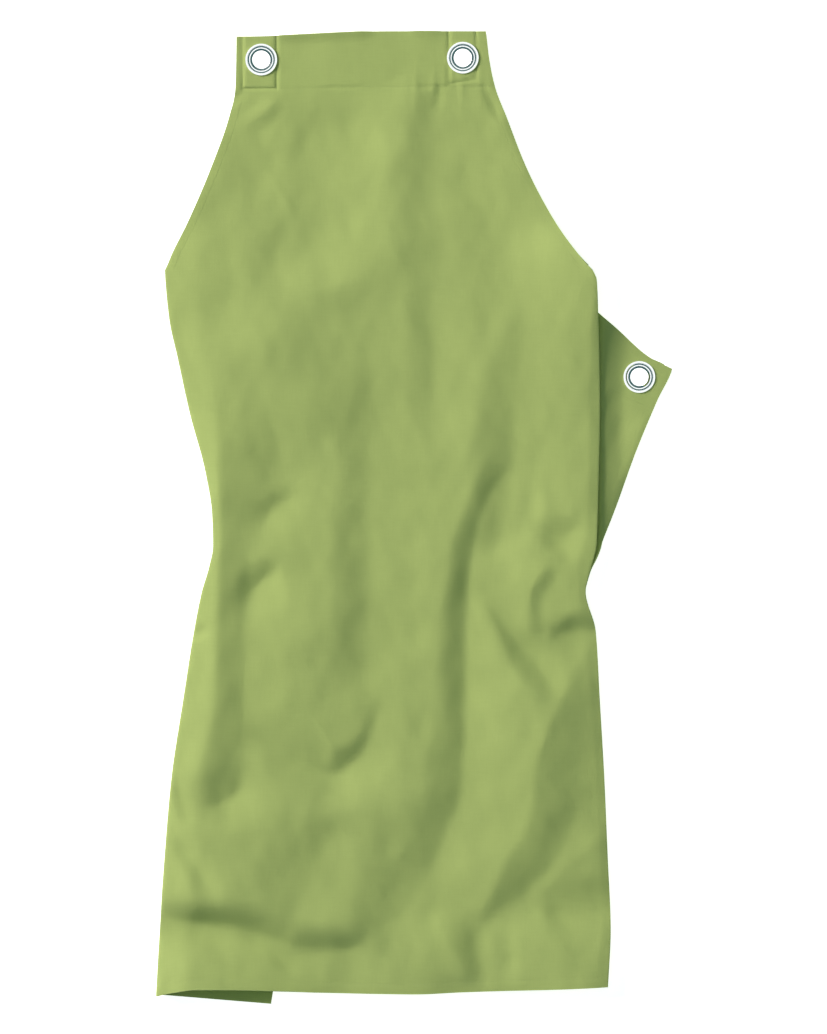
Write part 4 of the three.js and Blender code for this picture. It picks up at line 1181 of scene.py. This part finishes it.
# Finish of the cloth, the thread and the metal
THREAD_PITCH = 0.00055  # metres from one thread of the weave to the next
CLOTH_COLOUR = (0.355, 0.452, 0.137, 1)
CLOTH_PALE = (0.392, 0.492, 0.158, 1)
THREAD_COLOUR = (0.33, 0.425, 0.125, 1)
NICKEL_COLOUR = (0.90, 0.90, 0.89, 1)
NICKEL_WARM = (0.94, 0.937, 0.925, 1)
FLOOR_COLOUR = (0.92, 0.92, 0.915, 1)
FLOOR_PALE = (0.94, 0.94, 0.935, 1)
SLUB_FINE = 900  # uneven threads: rate of change across them
SLUB_LONG = 60  # and along them
SLUB_TONE = (-0.6, 1.1)
CLOUD_SCALE = 14.0
CLOUD_TONE = (-0.25, 0.25)
WEAVE_SHARE = 0.5
WEAVE_BUMP = (0.5, 0.00025)  # strength and depth
TWIST_SCALE = 2500.0
TWIST_BUMP = (0.3, 0.0001)
SCUFF_SCALE = 900.0
TINT_SCALE = 160.0
FLOOR_SCALE = 3.0
CLOTH_ROUGHNESS = (0.82, 0.94)
NICKEL_ROUGHNESS = (0.06, 0.12)


class Finish:
    """A material with its node tree, and short ways to add nodes"""

    def __init__(self, name):
        self.material = bpy.data.materials.new(name)
        self.material.use_nodes = True
        self.nodes = self.material.node_tree.nodes
        self.links = self.material.node_tree.links
        self.shader = self.nodes["Principled BSDF"]

    def set(self, **values):
        """Sets the shader's own sockets, with _ for a space in a name"""
        for name, value in values.items():
            self.shader.inputs[name.replace("_", " ")].default_value = value

    def node(self, kind, **sockets):
        made_node = self.nodes.new(kind)
        for name, value in sockets.items():
            self.feed(made_node.inputs[name.replace("_", " ")], value)
        return made_node

    def feed(self, socket, value):
        if isinstance(value, bpy.types.NodeSocket):
            self.links.new(value, socket)
        else:
            socket.default_value = value

    def math(self, operation, first, second=0.0):
        step = self.nodes.new("ShaderNodeMath")
        step.operation = operation
        self.feed(step.inputs[0], first)
        self.feed(step.inputs[1], second)
        return step.outputs[0]

    def noise(self, vector, scale, detail=2.0):
        return self.node("ShaderNodeTexNoise", Vector=vector, Scale=scale, Detail=detail).outputs[0]

    def place_on_cut(self):
        uv = self.node("ShaderNodeUVMap")
        uv.uv_map = "cut"
        return uv.outputs[0]

    def place_in_piece(self):
        return self.node("ShaderNodeTexCoord").outputs["Object"]

    def drive(self, name, output):
        self.links.new(output, self.shader.inputs[name])

    def spread(self, value, low, high):
        """A value from 0 to 1 brought between two others"""
        return self.math("ADD", self.math("MULTIPLY", value, high - low), low)

    def scaled(self, vector, factors):
        step = self.nodes.new("ShaderNodeVectorMath")
        step.operation = "MULTIPLY"
        self.feed(step.inputs[0], vector)
        step.inputs[1].default_value = factors
        return step.outputs[0]

    def mix_colour(self, share, first, second):
        step = self.nodes.new("ShaderNodeMix")
        step.data_type = "RGBA"
        self.feed(step.inputs[0], share)
        self.feed(step.inputs[6], first)
        self.feed(step.inputs[7], second)
        return step.outputs[2]

    def bump(self, height, strength, distance):
        step = self.node("ShaderNodeBump", Height=height, Strength=strength, Distance=distance)
        self.drive("Normal", step.outputs[0])


def cloth_finish():
    """Plain weave with uneven threads, matt and slightly soft to the light"""
    finish = Finish("cloth_weave")
    place = finish.place_on_cut()
    threads = finish.node("ShaderNodeSeparateXYZ", Vector=finish.scaled(place, (1 / THREAD_PITCH,) * 3))
    across, along = threads.outputs[0], threads.outputs[1]
    warp = finish.math("SINE", finish.math("MULTIPLY", finish.math("FRACT", across), math.pi))
    weft = finish.math("SINE", finish.math("MULTIPLY", finish.math("FRACT", along), math.pi))
    crossing = finish.math("ADD", finish.math("FLOOR", across), finish.math("FLOOR", along))
    on_top = finish.math("FLOORED_MODULO", crossing, 2.0)
    weave = finish.math("ADD", finish.math("MULTIPLY", warp, on_top),
                        finish.math("MULTIPLY", weft, finish.math("SUBTRACT", 1.0, on_top)))
    warp_slub = finish.noise(finish.scaled(place, (SLUB_FINE, SLUB_LONG, 1)), 1.0)
    weft_slub = finish.noise(finish.scaled(place, (SLUB_LONG, SLUB_FINE, 1)), 1.0)
    slub = finish.math("MULTIPLY", finish.math("ADD", warp_slub, weft_slub), 0.5)
    cloud = finish.noise(place, CLOUD_SCALE, detail=3.0)
    tone = finish.math("ADD", finish.spread(slub, *SLUB_TONE), finish.spread(cloud, *CLOUD_TONE))
    finish.drive("Base Color", finish.mix_colour(tone, CLOTH_COLOUR, CLOTH_PALE))
    finish.drive("Roughness", finish.spread(slub, *CLOTH_ROUGHNESS))
    finish.set(Sheen_Weight=0.12, Sheen_Roughness=0.5, Specular_IOR_Level=0.2)
    finish.bump(finish.math("ADD", finish.math("MULTIPLY", weave, WEAVE_SHARE), slub), *WEAVE_BUMP)
    return finish.material


def thread_finish():
    """Twisted sewing thread in the colour of the cloth"""
    finish = Finish("sewing_thread")
    twist = finish.noise(finish.place_on_cut(), TWIST_SCALE, detail=1.0)
    finish.drive("Base Color", finish.mix_colour(twist, THREAD_COLOUR, CLOTH_COLOUR))
    finish.set(Roughness=0.75, Sheen_Weight=0.1)
    finish.bump(twist, *TWIST_BUMP)
    return finish.material


def nickel_finish():
    """Bright plated metal with faint scuffs"""
    finish = Finish("bright_nickel")
    place = finish.place_in_piece()
    scuff = finish.noise(place, SCUFF_SCALE, detail=3.0)
    finish.drive("Roughness", finish.spread(scuff, *NICKEL_ROUGHNESS))
    finish.drive("Base Color", finish.mix_colour(finish.noise(place, TINT_SCALE), NICKEL_COLOUR, NICKEL_WARM))
    finish.set(Metallic=1.0)
    return finish.material


def floor_finish():
    """Pale sweep, lit so that shadows stay faint"""
    finish = Finish("pale_floor")
    cloud = finish.noise(finish.place_in_piece(), FLOOR_SCALE)
    finish.drive("Base Color", finish.mix_colour(cloud, FLOOR_COLOUR, FLOOR_PALE))
    finish.set(Roughness=0.9, Specular_IOR_Level=0.1)
    finish.set(Emission_Color=(1, 1, 1, 1), Emission_Strength=FLOOR_GLOW)
    return finish.material


# Stage: floor, light and camera
FLOOR_SIZE = 8.0
FLOOR_GLOW = 0.75
KEY_WAY = (-0.735, 0.424, 0.53)
KEY_DISTANCE = 6.0
KEY_SIZE = 3.0
KEY_POWER = 478.0
KEY_COLOUR = (1, 0.893, 0.893)
BOX_HEIGHT = 7.0
BOX_SIZE = 6.4
BOX_POWER = 106.0
FILL_COLOUR = (0.4, 1, 1.05, 1)
FILL_STRENGTH = 0.12
CAMERA_HEIGHT = 6.0
FRAME_LEVEL = 0.008  # height above the floor at which the photo's scale holds
SENSOR_WIDTH = 36.0
FRAME_HEIGHT = 0.90475  # metres that the photo's height takes in


def make_floor():
    half = FLOOR_SIZE / 2
    mesh = bpy.data.meshes.new("floor")
    corners = [(-half, -half, 0), (half, -half, 0), (half, half, 0), (-half, half, 0)]
    mesh.from_pydata(corners, [], [(0, 1, 2, 3)])
    mesh.materials.append(floor_finish())
    floor = bpy.data.objects.new("floor", mesh)
    bpy.context.scene.collection.objects.link(floor)


def make_lamp(name, way, distance, size, power):
    """A round soft light that shines on the origin"""
    lamp = bpy.data.lights.new(name, "AREA")
    lamp.shape = "DISK"
    lamp.size = size
    lamp.energy = power
    light = bpy.data.objects.new(name, lamp)
    way = Vector(way).normalized()
    light.location = way * distance
    light.rotation_euler = way.to_track_quat("Z", "Y").to_euler()
    bpy.context.scene.collection.objects.link(light)
    return lamp


def make_light():
    """A soft light from the upper left, a wide one overhead, and faint cool light all round"""
    key = make_lamp("key_light", KEY_WAY, KEY_DISTANCE, KEY_SIZE, KEY_POWER)
    key.color = KEY_COLOUR
    make_lamp("overhead_light", (0, 0, 1), BOX_HEIGHT, BOX_SIZE, BOX_POWER)
    world = bpy.data.worlds.new("studio")
    world.use_nodes = True
    world.node_tree.nodes["Background"].inputs["Color"].default_value = FILL_COLOUR
    world.node_tree.nodes["Background"].inputs["Strength"].default_value = FILL_STRENGTH
    bpy.context.scene.world = world


def make_camera():
    """Straight above the apron, with its bib up the picture"""
    lens = bpy.data.cameras.new("camera")
    lens.sensor_width = SENSOR_WIDTH
    lens.lens = SENSOR_WIDTH * (CAMERA_HEIGHT - FRAME_LEVEL) / FRAME_HEIGHT
    camera = bpy.data.objects.new("camera", lens)
    camera.location = (0, 0, CAMERA_HEIGHT)
    bpy.context.scene.collection.objects.link(camera)
    bpy.context.scene.camera = camera
    bpy.context.scene.view_settings.view_transform = "Standard"


# What each piece stands for, and its slot in the record
CLOTH_NODES = (
    "apron_panel", "bib_facing", "armhole_hem_left", "armhole_hem_right", "side_hem_left", "side_hem_right",
    "bottom_hem")
STANDS_FOR = {node + "_cloth": node for node in CLOTH_NODES}
for corner in (eyelet["name"] for eyelet in EYELETS):
    STANDS_FOR["eyelet_ring_" + corner] = "eyelet_" + corner
    STANDS_FOR["washer_ring_" + corner] = "eyelet_washer_" + corner
    STANDS_FOR["patch_cloth_" + corner] = "eyelet_patch_" + corner


def finish_pieces():
    """Material, slot, body and CAD node of every piece"""
    finishes = {"cloth": cloth_finish(), "thread": thread_finish(), "eyelet_metal": nickel_finish()}
    for name, piece in made.items():
        slot = "cloth"
        if name.endswith("_stitches"):
            slot = "thread"
        if "_ring_" in name:
            slot = "eyelet_metal"
        piece.data.materials.append(finishes[slot])
        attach(piece, FRAME_BODY)
        if name in STANDS_FOR:
            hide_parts(STANDS_FOR[name])


make_camera()
make_light()
make_floor()
make_cloth()
for eyelet in EYELETS:
    make_eyelet(eyelet)
for seam, lines in seam_lines().items():
    make_stitches(seam, lines)
finish_pieces()
